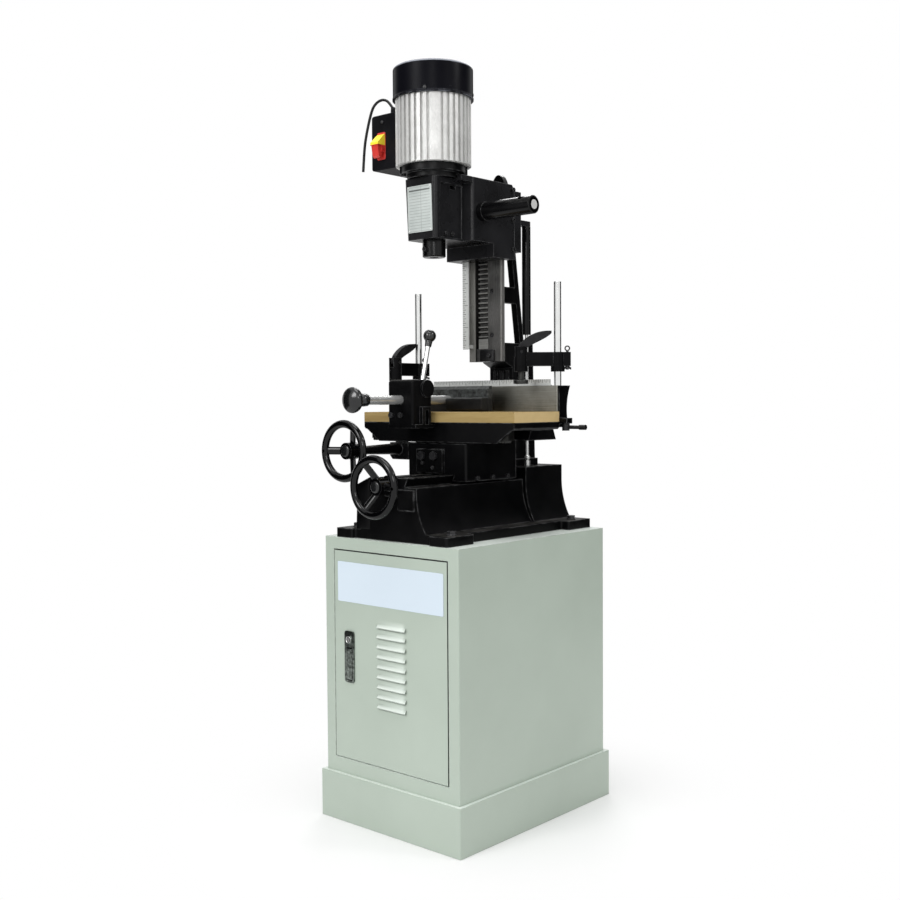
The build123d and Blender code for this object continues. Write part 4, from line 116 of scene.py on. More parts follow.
# %% [markdown]
# Patterns need to know where they are. Object coordinates stay with a piece when it moves, so all
# patterns here read those. A noise that is stretched along one axis gives lines, and the X, Y and Z
# of a place or a normal tell which part of a piece, or which side of it, a point is on.

# %% Pattern helpers
def object_place(tree):
    """Where a point of the surface lies on its object."""
    return put(tree, "ShaderNodeTexCoord").outputs["Object"]


def surface_normal(tree):
    """Which way the surface faces."""
    return put(tree, "ShaderNodeNewGeometry").outputs["Normal"]


def axes_of(tree, vector):
    """The X, Y and Z of a place or a normal."""
    return put(tree, "ShaderNodeSeparateXYZ", {0: vector}).outputs


def squeezed(tree, place, scale):
    """A place that is scaled differently along each axis."""
    return put(tree, "ShaderNodeMapping", {"Vector": place, "Scale": scale}).outputs["Vector"]


def noise(tree, place, scale, **sockets):
    """A cloudy value around a half."""
    return put(tree, "ShaderNodeTexNoise", {"Vector": place, "Scale": scale, **sockets}).outputs["Fac"]


def relief(tree, height, normal, strength, depth):
    """A normal that is roughened by a height."""
    sockets = {"Height": height, "Normal": normal, "Strength": strength, "Distance": depth}
    return put(tree, "ShaderNodeBump", sockets).outputs["Normal"]


print("pattern helpers ready")

# %% [markdown]
# A material starts with its shader, and what is the same all over is set on the shader itself. An
# effect that several materials share is a node group, which is built once and used with other
# values each time. Colours are written as a screen shows them and turned into linear light.

# %% Material helpers
def start_material(name, **sockets):
    """A material with its Principled shader, and constants set on the shader itself."""
    finish = bpy.data.materials.new(name)
    finish.use_nodes = True
    shader = finish.node_tree.nodes["Principled BSDF"]
    for socket, value in sockets.items():
        shader.inputs[socket.replace("_", " ")].default_value = value
    return finish, finish.node_tree, shader


def start_group(name, inputs, outputs):
    """A shader node group with its sockets, ready for its nodes."""
    group = bpy.data.node_groups.new(name, "ShaderNodeTree")
    for socket, kind, value in inputs:
        made = group.interface.new_socket(socket, in_out="INPUT", socket_type=kind)
        made.default_value = value
    for socket, kind in outputs:
        group.interface.new_socket(socket, in_out="OUTPUT", socket_type=kind)
    return group, group.nodes.new("NodeGroupInput").outputs, group.nodes.new("NodeGroupOutput")


def use(tree, group, **sockets):
    """The outputs of a node group that is placed in a material with its own values."""
    return put(tree, "ShaderNodeGroup", sockets, node_tree=group).outputs


def feed(tree, node, **values):
    """Link values to the inputs of a shader or of a group's end."""
    for socket, value in values.items():
        tree.links.new(value, node.inputs[socket.replace("_", " ")])


def shade(red, green, blue):
    """A display colour from 0 to 255 as the linear colour that shader sockets take."""
    levels = (red, green, blue)
    linear = [((c / 255 + 0.055) / 1.055) ** 2.4 if c > 10 else c / 3294.6 for c in levels]
    return (*linear, 1)


print("material helpers ready")

# %% [markdown]
# ## Studio
# A product photograph has a white sweep and large soft lights. A dome of plain light could do it
# all, but then nothing would have a bright side. A pale floor, a white world for the background
# and soft panels give the front of the cabinet more light than its sides, as in the photograph.

# %% World
def seen_directly(tree):
    """One for rays that show a surface: from the camera, off metal or through glass."""
    rays = put(tree, "ShaderNodeLightPath").outputs
    seen = reckon(tree, "ADD", rays["Is Camera Ray"], rays["Is Glossy Ray"])
    return reckon(tree, "ADD", seen, rays["Is Transmission Ray"], clamp=True)


dome_level = 0.46
white_level = 1.0
world = bpy.data.worlds.new("studio")
world.use_nodes = True
bpy.context.scene.world = world
tree = world.node_tree
background = tree.nodes["Background"]
background.inputs["Color"].default_value = (1, 1, 1, 1)
level = ramp(tree, seen_directly(tree), start=0.0, end=1.0, low=dome_level, high=white_level)
feed(tree, background, Strength=level)
print("dome level", dome_level)

# %% [markdown]
# The floor keeps the shadow round the plinth. Farther out it goes over into plain white, so that
# the picture has no horizon. The change depends on the distance from the machine alone. Operators
# act on everything that is selected, so the plane is added after everything is deselected.

# %% Floor
def clear_selection():
    """Leave edit mode and deselect every object."""
    if bpy.context.object and bpy.context.object.mode != "OBJECT":
        bpy.ops.object.mode_set(mode="OBJECT")
    bpy.ops.object.select_all(action="DESELECT")


floor_size = 14
floor_level = -0.0005
shadow_full = 0.15
shadow_gone = 0.7
paper_grey = (0.92, 0.92, 0.92, 1)
paper_white = (0.97, 0.97, 0.97, 1)
clear_selection()
bpy.ops.mesh.primitive_plane_add(size=floor_size, location=(0, 0, floor_level))
floor = bpy.context.object
floor.name = "studio_floor"
floor_finish, tree, shader = start_material("studio_floor", Roughness=0.9, Specular_IOR_Level=0.0)
place = object_place(tree)
speckle = noise(tree, place, scale=3.0)
feed(tree, shader, Base_Color=mix(tree, speckle, paper_grey, paper_white))
away = put(tree, "ShaderNodeVectorMath", {0: place}, operation="LENGTH").outputs["Value"]
fade = ramp(tree, away, shadow_full, shadow_gone, smooth=True)
share = reckon(tree, "MULTIPLY", fade, seen_directly(tree))
white = put(tree, "ShaderNodeEmission", {"Strength": white_level}).outputs[0]
both = put(tree, "ShaderNodeMixShader", {0: share, 1: shader.outputs[0], 2: white}).outputs[0]
feed(tree, tree.nodes["Material Output"], Surface=both)
floor.data.materials.append(floor_finish)
print("floor", floor.dimensions[:2])

# %% [markdown]
# The lamps are soft squares, as a photographer's boxes are. Large ones stand at the front, on top
# and at the back, a weak one fills the right side, and a small one makes the fins of the motor
# shine. Each has a place, a point that it looks at, the length of its side, and its power in watts.

# %% Soft panels
def soft_panel(name, place, aim, size, power):
    """A square area light that looks at a point."""
    data = bpy.data.lights.new(name, "AREA")
    data.size = size
    data.energy = power
    lamp = bpy.data.objects.new(name, data)
    bpy.context.scene.collection.objects.link(lamp)
    look = Vector(aim) - Vector(place)
    lamp.matrix_world = Matrix.Translation(place) @ look.to_track_quat("-Z", "Y").to_matrix().to_4x4()


soft_panel("left_panel", place=(-0.3, -3.1, 2.4), aim=(0, 0, 0.8), size=1.1, power=38)
soft_panel("right_panel", place=(2.9, -0.4, 2.2), aim=(0, 0, 0.9), size=0.8, power=3)
soft_panel("front_panel", place=(2.0, -2.5, 2.0), aim=(0, 0, 1.1), size=0.7, power=16)
soft_panel("motor_panel", place=(1.6, 0.6, 2.3), aim=(0, -0.1, 1.5), size=0.3, power=7)
soft_panel("top_panel", place=(0.2, -0.5, 3.4), aim=(0, 0, 0.8), size=1.6, power=34)
soft_panel("back_panel", place=(-1.6, 2.2, 3.3), aim=(0, 0.2, 0.5), size=1.2, power=32)
bpy.context.scene.view_settings.view_transform = "Standard"
print("panels", len(bpy.data.lights))

# %% [markdown]
# Polished rods and black enamel look like paper in an all-white room. A photographer stands black
# cards round the back and sides, out of the picture, so that edges and flat sides go dark and the
# panels stand out. The three cards here are seen in reflections only, and take no light away.

# %% Black cards
card_distance = 2.0
card_top = 2.4
card_finish, tree, shader = start_material("card_felt", Roughness=1.0, Specular_IOR_Level=0.0)
felt = noise(tree, object_place(tree), scale=40.0)
feed(tree, shader, Base_Color=mix(tree, felt, shade(10, 10, 10), shade(20, 20, 20)))


def black_card(name, bearing, width, foot=0.0):
    """An upright card that faces the machine from a bearing, and that only reflections see."""
    clear_selection()
    turn = math.radians(bearing)
    place = (card_distance * math.cos(turn), card_distance * math.sin(turn), (foot + card_top) / 2)
    upright = (math.pi / 2, 0, turn + math.pi / 2)
    bpy.ops.mesh.primitive_plane_add(size=1, location=place, rotation=upright)
    card = bpy.context.object
    card.name = name
    card.scale = (width, card_top - foot, 1)
    card.data.materials.append(card_finish)
    card.visible_camera = False
    card.visible_diffuse = False
    card.visible_transmission = False
    card.visible_shadow = False


black_card("left_card", bearing=-148, width=1.9)
black_card("back_card", bearing=132, width=2.5, foot=1.0)
black_card("right_card", bearing=52, width=1.9)
print("cards at", card_distance, "m")

# %% [markdown]
# ## Shared effects
# Five effects come back in many finishes, so each is a node group. The edge group compares the true
# normal with a rounded one, and breaks the difference up with noise. Its mask pales edges for wear
# and as a painted highlight. It could be painted by hand, but then every change of shape would need
# new paint.

# %% Worn edges
NUMBER = "NodeSocketFloat"
VECTOR = "NodeSocketVector"
wear_and_highlight_edges, inlet, outlet = start_group(
    "wear_and_highlight_edges",
    [("Width", NUMBER, 0.001), ("Patch", NUMBER, 60.0)],
    [("Mask", NUMBER), ("Rounded", VECTOR)],
)
rounded = put(wear_and_highlight_edges, "ShaderNodeBevel", {"Radius": inlet["Width"]}, samples=6).outputs["Normal"]
agree = {0: rounded, 1: surface_normal(wear_and_highlight_edges)}
agree = put(wear_and_highlight_edges, "ShaderNodeVectorMath", agree, operation="DOT_PRODUCT").outputs["Value"]
edge = ramp(wear_and_highlight_edges, agree, start=0.985, end=0.84)
patch = noise(wear_and_highlight_edges, object_place(wear_and_highlight_edges), inlet["Patch"], Detail=3.0)
patch = ramp(wear_and_highlight_edges, patch, start=0.38, end=0.62)
feed(wear_and_highlight_edges, outlet, Mask=reckon(wear_and_highlight_edges, "MULTIPLY", edge, patch), Rounded=rounded)
print("group", wear_and_highlight_edges.name)

# %% [markdown]
# Paint skin is what any coat has: a fine orange peel, which goes into the relief, and a slow drift
# of tone, which goes into the colour and the gloss. One noise could serve for both, but the two
# sizes are far apart, so there are two.

# %% Paint skin
paint_skin, inlet, outlet = start_group(
    "paint_skin",
    [("Peel", NUMBER, 900.0), ("Drift", NUMBER, 4.0)],
    [("Height", NUMBER), ("Tone", NUMBER)],
)
place = object_place(paint_skin)
peel = noise(paint_skin, place, inlet["Peel"], Detail=2.0)
drift = noise(paint_skin, place, inlet["Drift"], Detail=4.0, Roughness=0.6)
feed(paint_skin, outlet, Height=peel, Tone=ramp(paint_skin, drift, start=0.3, end=0.7))
print("group", paint_skin.name)

# %% [markdown]
# Sawdust settles on what faces up, and it lies in patches. The same pale layer also serves as a
# painted sheen on level tops. The Z of the normal tells how level a surface is, and a rough noise
# breaks the layer up.

# %% Settled dust and painted sheen
dust_and_sheen_layer, inlet, outlet = start_group("dust_and_sheen_layer", [("Patch", NUMBER, 30.0)], [("Mask", NUMBER)])
facing = axes_of(dust_and_sheen_layer, surface_normal(dust_and_sheen_layer))
level_top = ramp(dust_and_sheen_layer, facing["Z"], start=0.6, end=0.95, smooth=True)
patch = noise(dust_and_sheen_layer, object_place(dust_and_sheen_layer), inlet["Patch"], Detail=6.0, Roughness=0.7)
patch = ramp(dust_and_sheen_layer, patch, start=0.4, end=0.65)
feed(dust_and_sheen_layer, outlet, Mask=reckon(dust_and_sheen_layer, "MULTIPLY", level_top, patch))
print("group", dust_and_sheen_layer.name)

# %% [markdown]
# A grinding wheel or a lathe tool leaves fine lines along one way. A noise that is squeezed across
# that way gives the lines, and a round noise gives the stains of dried oil.

# %% Grind marks
grind_marks, inlet, outlet = start_group(
    "grind_marks",
    [("Stretch", VECTOR, (900.0, 900.0, 9.0)), ("Blotch", NUMBER, 18.0)],
    [("Streak", NUMBER), ("Stain", NUMBER)],
)
place = object_place(grind_marks)
along = squeezed(grind_marks, place, inlet["Stretch"])
streak = noise(grind_marks, along, scale=1.0, Detail=3.0, Roughness=0.65)
streak = ramp(grind_marks, streak, start=0.3, end=0.7)
stain = noise(grind_marks, place, inlet["Blotch"], Detail=5.0, Roughness=0.6)
stain = ramp(grind_marks, stain, start=0.35, end=0.65)
feed(grind_marks, outlet, Streak=streak, Stain=stain)
print("group", grind_marks.name)

# %% [markdown]
# A scale has short, middle and long lines. Each set is a distance that runs up and down between two
# lines, and is a line wherever that distance is small. The three sets are laid over each other.

# %% Graduations
graduations, inlet, outlet = start_group(
    "graduations",
    [("Along", NUMBER, 0.0), ("Across", NUMBER, 0.0), ("Pitch", NUMBER, 0.005), ("Line", NUMBER, 0.0005)],
    [("Mask", NUMBER)],
)


def scale_lines(steps, reach):
    """Lines at every so many pitches, from the root edge to a share of the width."""
    half = reckon(graduations, "MULTIPLY", inlet["Pitch"], steps / 2)
    near = reckon(graduations, "PINGPONG", inlet["Along"], half)
    line = reckon(graduations, "LESS_THAN", near, inlet["Line"])
    short = reckon(graduations, "LESS_THAN", inlet["Across"], reach)
    return reckon(graduations, "MULTIPLY", line, short)


small = scale_lines(steps=1, reach=0.35)
middle = scale_lines(steps=2, reach=0.55)
large = scale_lines(steps=10, reach=0.85)
some = reckon(graduations, "MAXIMUM", small, middle)
feed(graduations, outlet, Mask=reckon(graduations, "MAXIMUM", some, large))
print("group", graduations.name)

# %% [markdown]
# ## Coats
# Powder coat, casting enamel, black oxide and moulded plastic are all a skin over something else.
# They differ in their tone, their gloss, the size of their orange peel and how their edges wear and
# take a painted highlight. One function builds such a coat from those values, so that each finish is
# one readable call.

# %% Coat
DUST_AND_SHEEN = shade(112, 110, 106)
PEEL_DEPTH = 0.0005


def coat(name, dark, light, wear_and_highlight_colour, rough, peel, bump, wear_and_highlight_share, width=0.0012, drift=5.0, dust_and_sheen=0.0, **sockets):
    """A skin with a drift of tone, edges paled for wear and as a painted highlight, dust with a painted sheen
    on top, orange peel and soft edges.
    """
    finish, tree, shader = start_material(name, **sockets)
    skin = use(tree, paint_skin, Peel=peel, Drift=drift)
    edges = use(tree, wear_and_highlight_edges, Width=width)
    tone = mix(tree, skin["Tone"], dark, light)
    colour = mix(tree, reckon(tree, "MULTIPLY", edges["Mask"], wear_and_highlight_share), tone, wear_and_highlight_colour)
    # Level tops get dust, with a painted sheen in the same pale colour.
    if dust_and_sheen:
        lying = use(tree, dust_and_sheen_layer)["Mask"]
        colour = mix(tree, reckon(tree, "MULTIPLY", lying, dust_and_sheen), colour, DUST_AND_SHEEN)
    gloss = ramp(tree, skin["Tone"], start=0.0, end=1.0, low=rough * 0.85, high=rough * 1.15)
    bumpy = relief(tree, skin["Height"], edges["Rounded"], bump, PEEL_DEPTH)
    feed(tree, shader, Base_Color=colour, Roughness=gloss, Normal=bumpy)
    return finish


# The pale edge colour of the cabinet is mostly a painted highlight along its rolled edges.
cabinet_coat = coat(
    "cabinet_coat", shade(177, 189, 177), shade(186, 198, 186), shade(216, 226, 217),
    rough=0.32, peel=1100, bump=0.06, wear_and_highlight_share=0.9, width=0.0028, drift=2.5, Specular_IOR_Level=0.35,
)
print("coat", cabinet_coat.name)

# %% [markdown]
# The castings are black. The base, saddle and table have a deep, rather dull enamel over a coarse
# cast skin. The head is smoother and catches more light, and the handwheels are glossy. The edges
# of a black casting are paled to a grey, partly where the paint is thin and partly as a painted highlight.

# %% Black castings
cast_enamel = coat(
    "cast_enamel", shade(3, 3, 4), shade(8, 8, 9), shade(122, 123, 124),
    rough=0.34, peel=420, bump=0.3, wear_and_highlight_share=0.55, width=0.004, drift=14.0, dust_and_sheen=0.35, Specular_IOR_Level=0.12,
)
head_enamel = coat(
    "head_enamel", shade(23, 23, 24), shade(35, 35, 37), shade(112, 113, 115),
    rough=0.28, peel=520, bump=0.2, wear_and_highlight_share=0.6, width=0.0025, drift=12.0, dust_and_sheen=0.2, Specular_IOR_Level=0.18,
)
arm_enamel = coat(
    "arm_enamel", shade(6, 6, 7), shade(14, 14, 15), shade(116, 117, 118),
    rough=0.34, peel=420, bump=0.35, wear_and_highlight_share=0.65, width=0.002, drift=30.0, dust_and_sheen=0.3, Specular_IOR_Level=0.06,
)
wheel_enamel = coat(
    "wheel_enamel", shade(2, 2, 3), shade(6, 6, 7), shade(40, 40, 42),
    rough=0.12, peel=260, bump=0.05, wear_and_highlight_share=0.2, drift=9.0, Specular_IOR_Level=0.3,
)
print("castings", cast_enamel.name, head_enamel.name, arm_enamel.name, wheel_enamel.name)

# %% [markdown]
# Levers, bolts and the feed hub are blackened steel, the fan cover and the tube of the gas strut are
# painted sheet and tube, and the vise jaw is rough iron. They are all dark, and it is their gloss
# and the size of their grain that tells them apart.

# %% Black steel
black_oxide = coat(
    "black_oxide", shade(12, 12, 13), shade(24, 24, 26), shade(120, 120, 122),
    rough=0.33, peel=800, bump=0.12, wear_and_highlight_share=0.45, drift=30.0, Specular_IOR_Level=0.35,
)
lever_black = coat(
    "lever_black", shade(14, 14, 15), shade(34, 34, 35), shade(118, 118, 119),
    rough=0.42, peel=420, bump=0.4, wear_and_highlight_share=0.5, drift=60.0, Specular_IOR_Level=0.2,
)
# The pale edge colour of the fan cover is a painted highlight along its rolled rim.
cover_black = coat(
    "cover_black", shade(6, 6, 11), shade(10, 10, 16), shade(168, 172, 182),
    rough=0.3, peel=1500, bump=0.1, wear_and_highlight_share=0.7, width=0.004, drift=9.0, Specular_IOR_Level=0.05,
)
tube_black = coat(
    "tube_black", shade(7, 7, 8), shade(13, 13, 14), shade(60, 60, 62),
    rough=0.12, peel=300, bump=0.04, wear_and_highlight_share=0.3, drift=12.0, Specular_IOR_Level=0.2,
)
jaw_iron = coat(
    "jaw_iron", shade(14, 14, 14), shade(78, 81, 80), shade(140, 142, 141),
    rough=0.36, peel=300, bump=0.6, wear_and_highlight_share=0.8, drift=150.0, Specular_IOR_Level=0.35,
)
black_bolts = coat(
    "black_bolts", shade(14, 14, 15), shade(38, 38, 40), shade(150, 150, 152),
    rough=0.3, peel=900, bump=0.1, wear_and_highlight_share=0.5, width=0.0008, drift=80.0, Specular_IOR_Level=0.5,
)
hub_black = coat(
    "hub_black", shade(5, 5, 6), shade(10, 10, 11), shade(90, 90, 92),
    rough=0.2, peel=600, bump=0.06, wear_and_highlight_share=0.5, drift=20.0, Specular_IOR_Level=0.2,
)
print("finishes so far", len(bpy.data.materials))

# %% [markdown]
# ## Colours that follow the shape
# The drawn sheet cover has a rolled rim with a painted highlight all the way round. It could be a ring
# of its own, but a colour that depends on which way the surface leans finds the rim by itself: it is
# strongest halfway between two leanings, and grows along an axis.

# %% Leaning surfaces
def tint(finish, share, colour):
    """Blend the colour that a finish has so far to another one, by a share."""
    tree = finish.node_tree
    shader = tree.nodes["Principled BSDF"]
    ground = shader.inputs["Base Color"].links[0].from_socket
    feed(tree, shader, Base_Color=mix(tree, share, ground, colour))


def brighten_lean(finish, low, high, bright, axis, start, end):
    """Tint a finish where its surface leans up between two limits, more and more along an axis."""
    tree = finish.node_tree
    lean = axes_of(tree, surface_normal(tree))["Z"]
    middle = (low + high) / 2
    rise = ramp(tree, lean, low, middle)
    level_out = ramp(tree, lean, high, middle)
    beyond = ramp(tree, axes_of(tree, object_place(tree))[axis], start, end)
    share = reckon(tree, "MULTIPLY", rise, level_out)
    tint(finish, reckon(tree, "MULTIPLY", share, beyond), bright)


cover_low, cover_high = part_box("fan_cover")
cover_waist = (cover_low[2] + cover_high[2]) / 2
rim_highlight = shade(168, 172, 182)
rim_axis = {"axis": "Z", "start": cover_waist, "end": cover_high[2]}
# Painted highlight on the upper rim of the fan cover.
brighten_lean(cover_black, low=0.1, high=0.95, bright=rim_highlight, **rim_axis)
print("rim brightened above", round(cover_waist, 3))

# %% [markdown]
# The pressed louvres of the door get a painted highlight along their upper slopes, and painted shade
# in the corners below them. The level ledges of the cabinet get painted light, paler than the rest.
# The door has a copy of the cabinet's coat, so that only the door gets the louvre colours.

# %% Door and ledges
def darken_crevices(finish, reach, dark, most=0.8):
    """Tint a finish where its own shape shuts the light out close by."""
    tree = finish.node_tree
    shelter = put(tree, "ShaderNodeAmbientOcclusion", {"Distance": reach}, only_local=True, samples=8)
    tint(finish, ramp(tree, shelter.outputs["AO"], start=0.95, end=0.5, high=most), dark)


door_face = -0.253
louvre_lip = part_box("cabinet_door")[0][1]
louvre_highlight = shade(246, 254, 247)
louvre_shade = shade(96, 106, 97)
ledge_light = shade(228, 236, 229)
door_coat = cabinet_coat.copy()
door_coat.name = "door_coat"
louvre_axis = {"axis": "Y", "start": door_face, "end": louvre_lip}
# Painted highlight on the upper slopes of the louvres.
brighten_lean(door_coat, low=0.05, high=0.99, bright=louvre_highlight, **louvre_axis)
# Painted shade in the corners that the louvres close in.
darken_crevices(door_coat, reach=0.007, dark=louvre_shade)
everywhere = {"axis": "Z", "start": -1.0, "end": 0.0}
# Painted light on the level ledges of the cabinet.
brighten_lean(cabinet_coat, low=0.85, high=1.15, bright=ledge_light, **everywhere)
print("louvres stand out", round(door_face - louvre_lip, 4))

# %% [markdown]
# Above each louvre the sheet gets a painted highlight, which grows toward the right. Repeating a ramp
# once per pitch draws all nine.

# %% Door sheet
louvre_left = -0.033
louvre_right = 0.049
louvre_bottom = 0.264
louvre_pitch = 0.0214
louvre_count = 9
highlight_from = 0.008
highlight_to = 0.019
highlight_most = 0.75
highlight_start = louvre_left - 0.006
highlight_full = louvre_right - 0.012
highlight_end = louvre_right + 0.001
row_middle = louvre_count * louvre_pitch / 2
tree = door_coat.node_tree
axes = axes_of(tree, object_place(tree))
above = reckon(tree, "SUBTRACT", axes["Z"], louvre_bottom)
within = reckon(tree, "MODULO", above, louvre_pitch)
share = ramp(tree, within, highlight_to, highlight_from, high=highlight_most)
to_right = ramp(tree, axes["X"], highlight_start, highlight_full)
to_edge = ramp(tree, axes["X"], highlight_end, highlight_full, smooth=True)
in_rows = reckon(tree, "COMPARE", above, row_middle, row_middle)
for mask in (to_right, to_edge, in_rows):
    share = reckon(tree, "MULTIPLY", share, mask)
# Painted highlight above each louvre.
tint(door_coat, share, shade(240, 249, 241))
print("highlight_rows", louvre_count)

# %% [markdown]
# The gap round the door is a bold dark line along the top and the right. The gap itself is narrow,
# and the two returns of the door that stand in it get a painted shadow. One function does this and
# every other change of colour along an axis: a ramp from one place to another, up to a stop if need be.

# %% Door gap
def blend_along(finish, axis, start, end, colour, most=1.0, stop=math.inf):
    """Tint a finish on the way from one place on an axis to another, up to a stop."""
    tree = finish.node_tree
    along = axes_of(tree, object_place(tree))[axis]
    share = ramp(tree, along, start, end, high=most)
    before = reckon(tree, "LESS_THAN", along, stop)
    tint(finish, reckon(tree, "MULTIPLY", share, before), colour)


door_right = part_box("cabinet_door")[1][0]
door_top = 0.592
gap_shadow = shade(26, 30, 27)
side_inset = 0.0012
top_inset = 0.0010
gap_fade = 0.0004
# Painted shadow on the right and top returns of the door.
blend_along(door_coat, "X", door_right - side_inset, door_right - side_inset + gap_fade, gap_shadow)
blend_along(door_coat, "Z", door_top - top_inset, door_top - top_inset + gap_fade, gap_shadow)
print("door", round(door_right, 3), "to the right and", door_top, "high")

# %% [markdown]
# ## Plastics
# The ball and the knob are pressed from a shiny black resin. The switch box is a rougher moulding,
# and its hood and paddle are bright plastic. Mouldings have hardly any wear, only a fine grain, so
# the coat function serves for them too.

# %% Plastics
knob_resin = coat(
    "knob_resin", shade(14, 15, 16), shade(24, 25, 26), shade(70, 72, 73),
    rough=0.2, peel=500, bump=0.04, wear_and_highlight_share=0.2, drift=16.0, Specular_IOR_Level=0.55,
)
box_plastic = coat(
    "box_plastic", shade(15, 15, 17), shade(23, 23, 26), shade(72, 72, 76),
    rough=0.4, peel=1900, bump=0.18, wear_and_highlight_share=0.35, drift=18.0, Specular_IOR_Level=0.05,
)
yellow_plastic = coat(
    "yellow_plastic", shade(255, 222, 44), shade(255, 232, 70), shade(255, 244, 150),
    rough=0.34, peel=1600, bump=0.08, wear_and_highlight_share=0.3, drift=40.0,
)
red_plastic = coat(
    "red_plastic", shade(196, 46, 40), shade(212, 58, 50), shade(232, 110, 98),
    rough=0.34, peel=1600, bump=0.08, wear_and_highlight_share=0.3, drift=40.0,
)
cord_rubber = coat(
    "cord_rubber", shade(12, 12, 13), shade(20, 20, 21), shade(40, 40, 41),
    rough=0.5, peel=2200, bump=0.1, wear_and_highlight_share=0.0, drift=60.0, Specular_IOR_Level=0.3,
)
print("finishes so far", len(bpy.data.materials))

# %% [markdown]
# ## Bare metals
# Ground and turned steel shows fine lines the way the tool went, and stains where oil dried. Noise
# stretched along one axis gives the lines, for the tone, the gloss and a very small relief at once.

# %% Bare metal
LINE_DEPTH = 0.0001


def bare_metal(name, dark, light, stretch, rough, stain=0.5, blotch=18.0, width=0.0006, bump=0.08, metal=1.0):
    """A metal with lines along one way, blotches of stain and slightly broken edges."""
    finish, tree, shader = start_material(name, Metallic=metal)
    marks = use(tree, grind_marks, Stretch=stretch, Blotch=blotch)
    edges = use(tree, wear_and_highlight_edges, Width=width)
    share = mix(tree, stain, marks["Streak"], marks["Stain"])
    colour = mix(tree, share, dark, light)
    gloss = ramp(tree, share, start=0.0, end=1.0, low=rough * 1.25, high=rough * 0.8)
    lines = relief(tree, marks["Streak"], edges["Rounded"], bump, LINE_DEPTH)
    feed(tree, shader, Base_Color=colour, Roughness=gloss, Normal=lines)
    return finish


ALONG_X = (12.0, 900.0, 900.0)
ALONG_Y = (900.0, 12.0, 900.0)
ALONG_Z = (900.0, 900.0, 12.0)
chrome = bare_metal(
    "chrome", shade(214, 215, 214), shade(240, 241, 240), ALONG_Z, rough=0.1, blotch=30.0, bump=0.02,
)
rod_chrome = bare_metal(
    "rod_chrome", shade(190, 191, 190), shade(226, 226, 224), ALONG_Y, rough=0.2, bump=0.03, metal=0.65,
)
turned_steel = bare_metal(
    "turned_steel", shade(204, 204, 202), shade(232, 232, 230), ALONG_Y, rough=0.45, metal=0.4,
)
rack_steel = bare_metal(
    "rack_steel", shade(118, 118, 116), shade(204, 204, 200), ALONG_X, rough=0.32, metal=0.8,
)
# Painted shade in the gaps between the teeth of the rack.
darken_crevices(rack_steel, reach=0.008, dark=shade(8, 8, 8), most=0.97)
dark_steel = bare_metal("dark_steel", shade(34, 34, 33), shade(74, 74, 72), ALONG_X, rough=0.36)
bronze = bare_metal("bronze", shade(150, 104, 52), shade(200, 150, 84), ALONG_Y, rough=0.3)
# The pale blotches on the dark lock plate are painted glints.
lock_chrome = bare_metal(
    "lock_chrome", shade(22, 26, 23), shade(146, 154, 148), ALONG_Z, rough=0.14, stain=0.8, blotch=160.0,
)
CAST_GRAIN = (260.0, 260.0, 120.0)
cast_aluminium = bare_metal(
    "cast_aluminium", shade(186, 186, 184), shade(214, 214, 212), CAST_GRAIN,
    rough=0.48, bump=0.12, metal=0.4,
)
print("finishes so far", len(bpy.data.materials))

# %% [markdown]
# The dovetail bar is ground along its length and dark with oil. A band of painted shadow runs along
# the left of the rack, the strip beyond it is wiped pale, and the right edge has a painted highlight.
# The top lug was never ground and stayed black. One material does it all, because each is a blend along one
# axis.

# %% Dovetail bar
ground_bar = bare_metal(
    "ground_bar", shade(34, 34, 34), shade(138, 137, 135), ALONG_Z,
    rough=0.3, stain=0.6, blotch=14.0, metal=0.7,
)
rack_low, rack_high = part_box("feed_rack")
bar_low, bar_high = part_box("dovetail_bar")
rack_left = rack_low[0]
band_left = rack_left - 0.006
band_full = rack_left - 0.005
wipe_start = rack_left - 0.003
edge_start = bar_high[0] - 0.005
edge_full = bar_high[0] - 0.003
lug_foot = rack_high[2]
lug_full = lug_foot + 0.004
blend_along(ground_bar, "X", wipe_start, band_left, shade(190, 188, 182), most=0.5)
# Painted shadow along the left side of the rack.
blend_along(ground_bar, "X", band_left, band_full, shade(10, 10, 10), most=0.85, stop=rack_left)
# Painted highlight on the right edge of the bar.
blend_along(ground_bar, "X", edge_start, edge_full, shade(190, 188, 184), most=0.6)
blend_along(ground_bar, "Z", lug_foot, lug_full, shade(9, 9, 10))
print("lug starts at", round(lug_foot, 3))

# %% [markdown]
# The fence face is a long steel strip, ground along its length. Its upper half gets a painted
# reflection, brighter toward the top. A slow ramp up its height goes over the grind marks.

# %% Fence face
fence_plate = bare_metal(
    "fence_plate", shade(90, 89, 82), shade(168, 166, 156), ALONG_X, rough=0.34, stain=0.4, blotch=22.0,
)
fence_low, fence_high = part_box("fence_face")
# Painted reflection, brighter up the fence face.
blend_along(fence_plate, "Z", fence_low[2], fence_high[2], shade(176, 175, 168), most=0.45)
print("fence face", round(fence_high[2] - fence_low[2], 3), "high")

# %% [markdown]
# The hood of the switch is moulded in two colours: yellow above and red below, where it takes over
# the colour of the paddle. The lower half of the vise jaw gets painted shade, near black. Both are
# short changes at one height.

# %% Hood and jaw
bezel_low, bezel_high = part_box("switch_bezel")
below_middle = 0.005
hood_fade = 0.0002
hood_split = (bezel_low[2] + bezel_high[2]) / 2 - below_middle
blend_along(yellow_plastic, "Z", hood_split + hood_fade, hood_split - hood_fade, shade(206, 50, 44))
jaw_low, jaw_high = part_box("vise_jaw")
jaw_split = (jaw_low[2] + jaw_high[2]) / 2
fade_above = 0.004
fade_below = 0.002
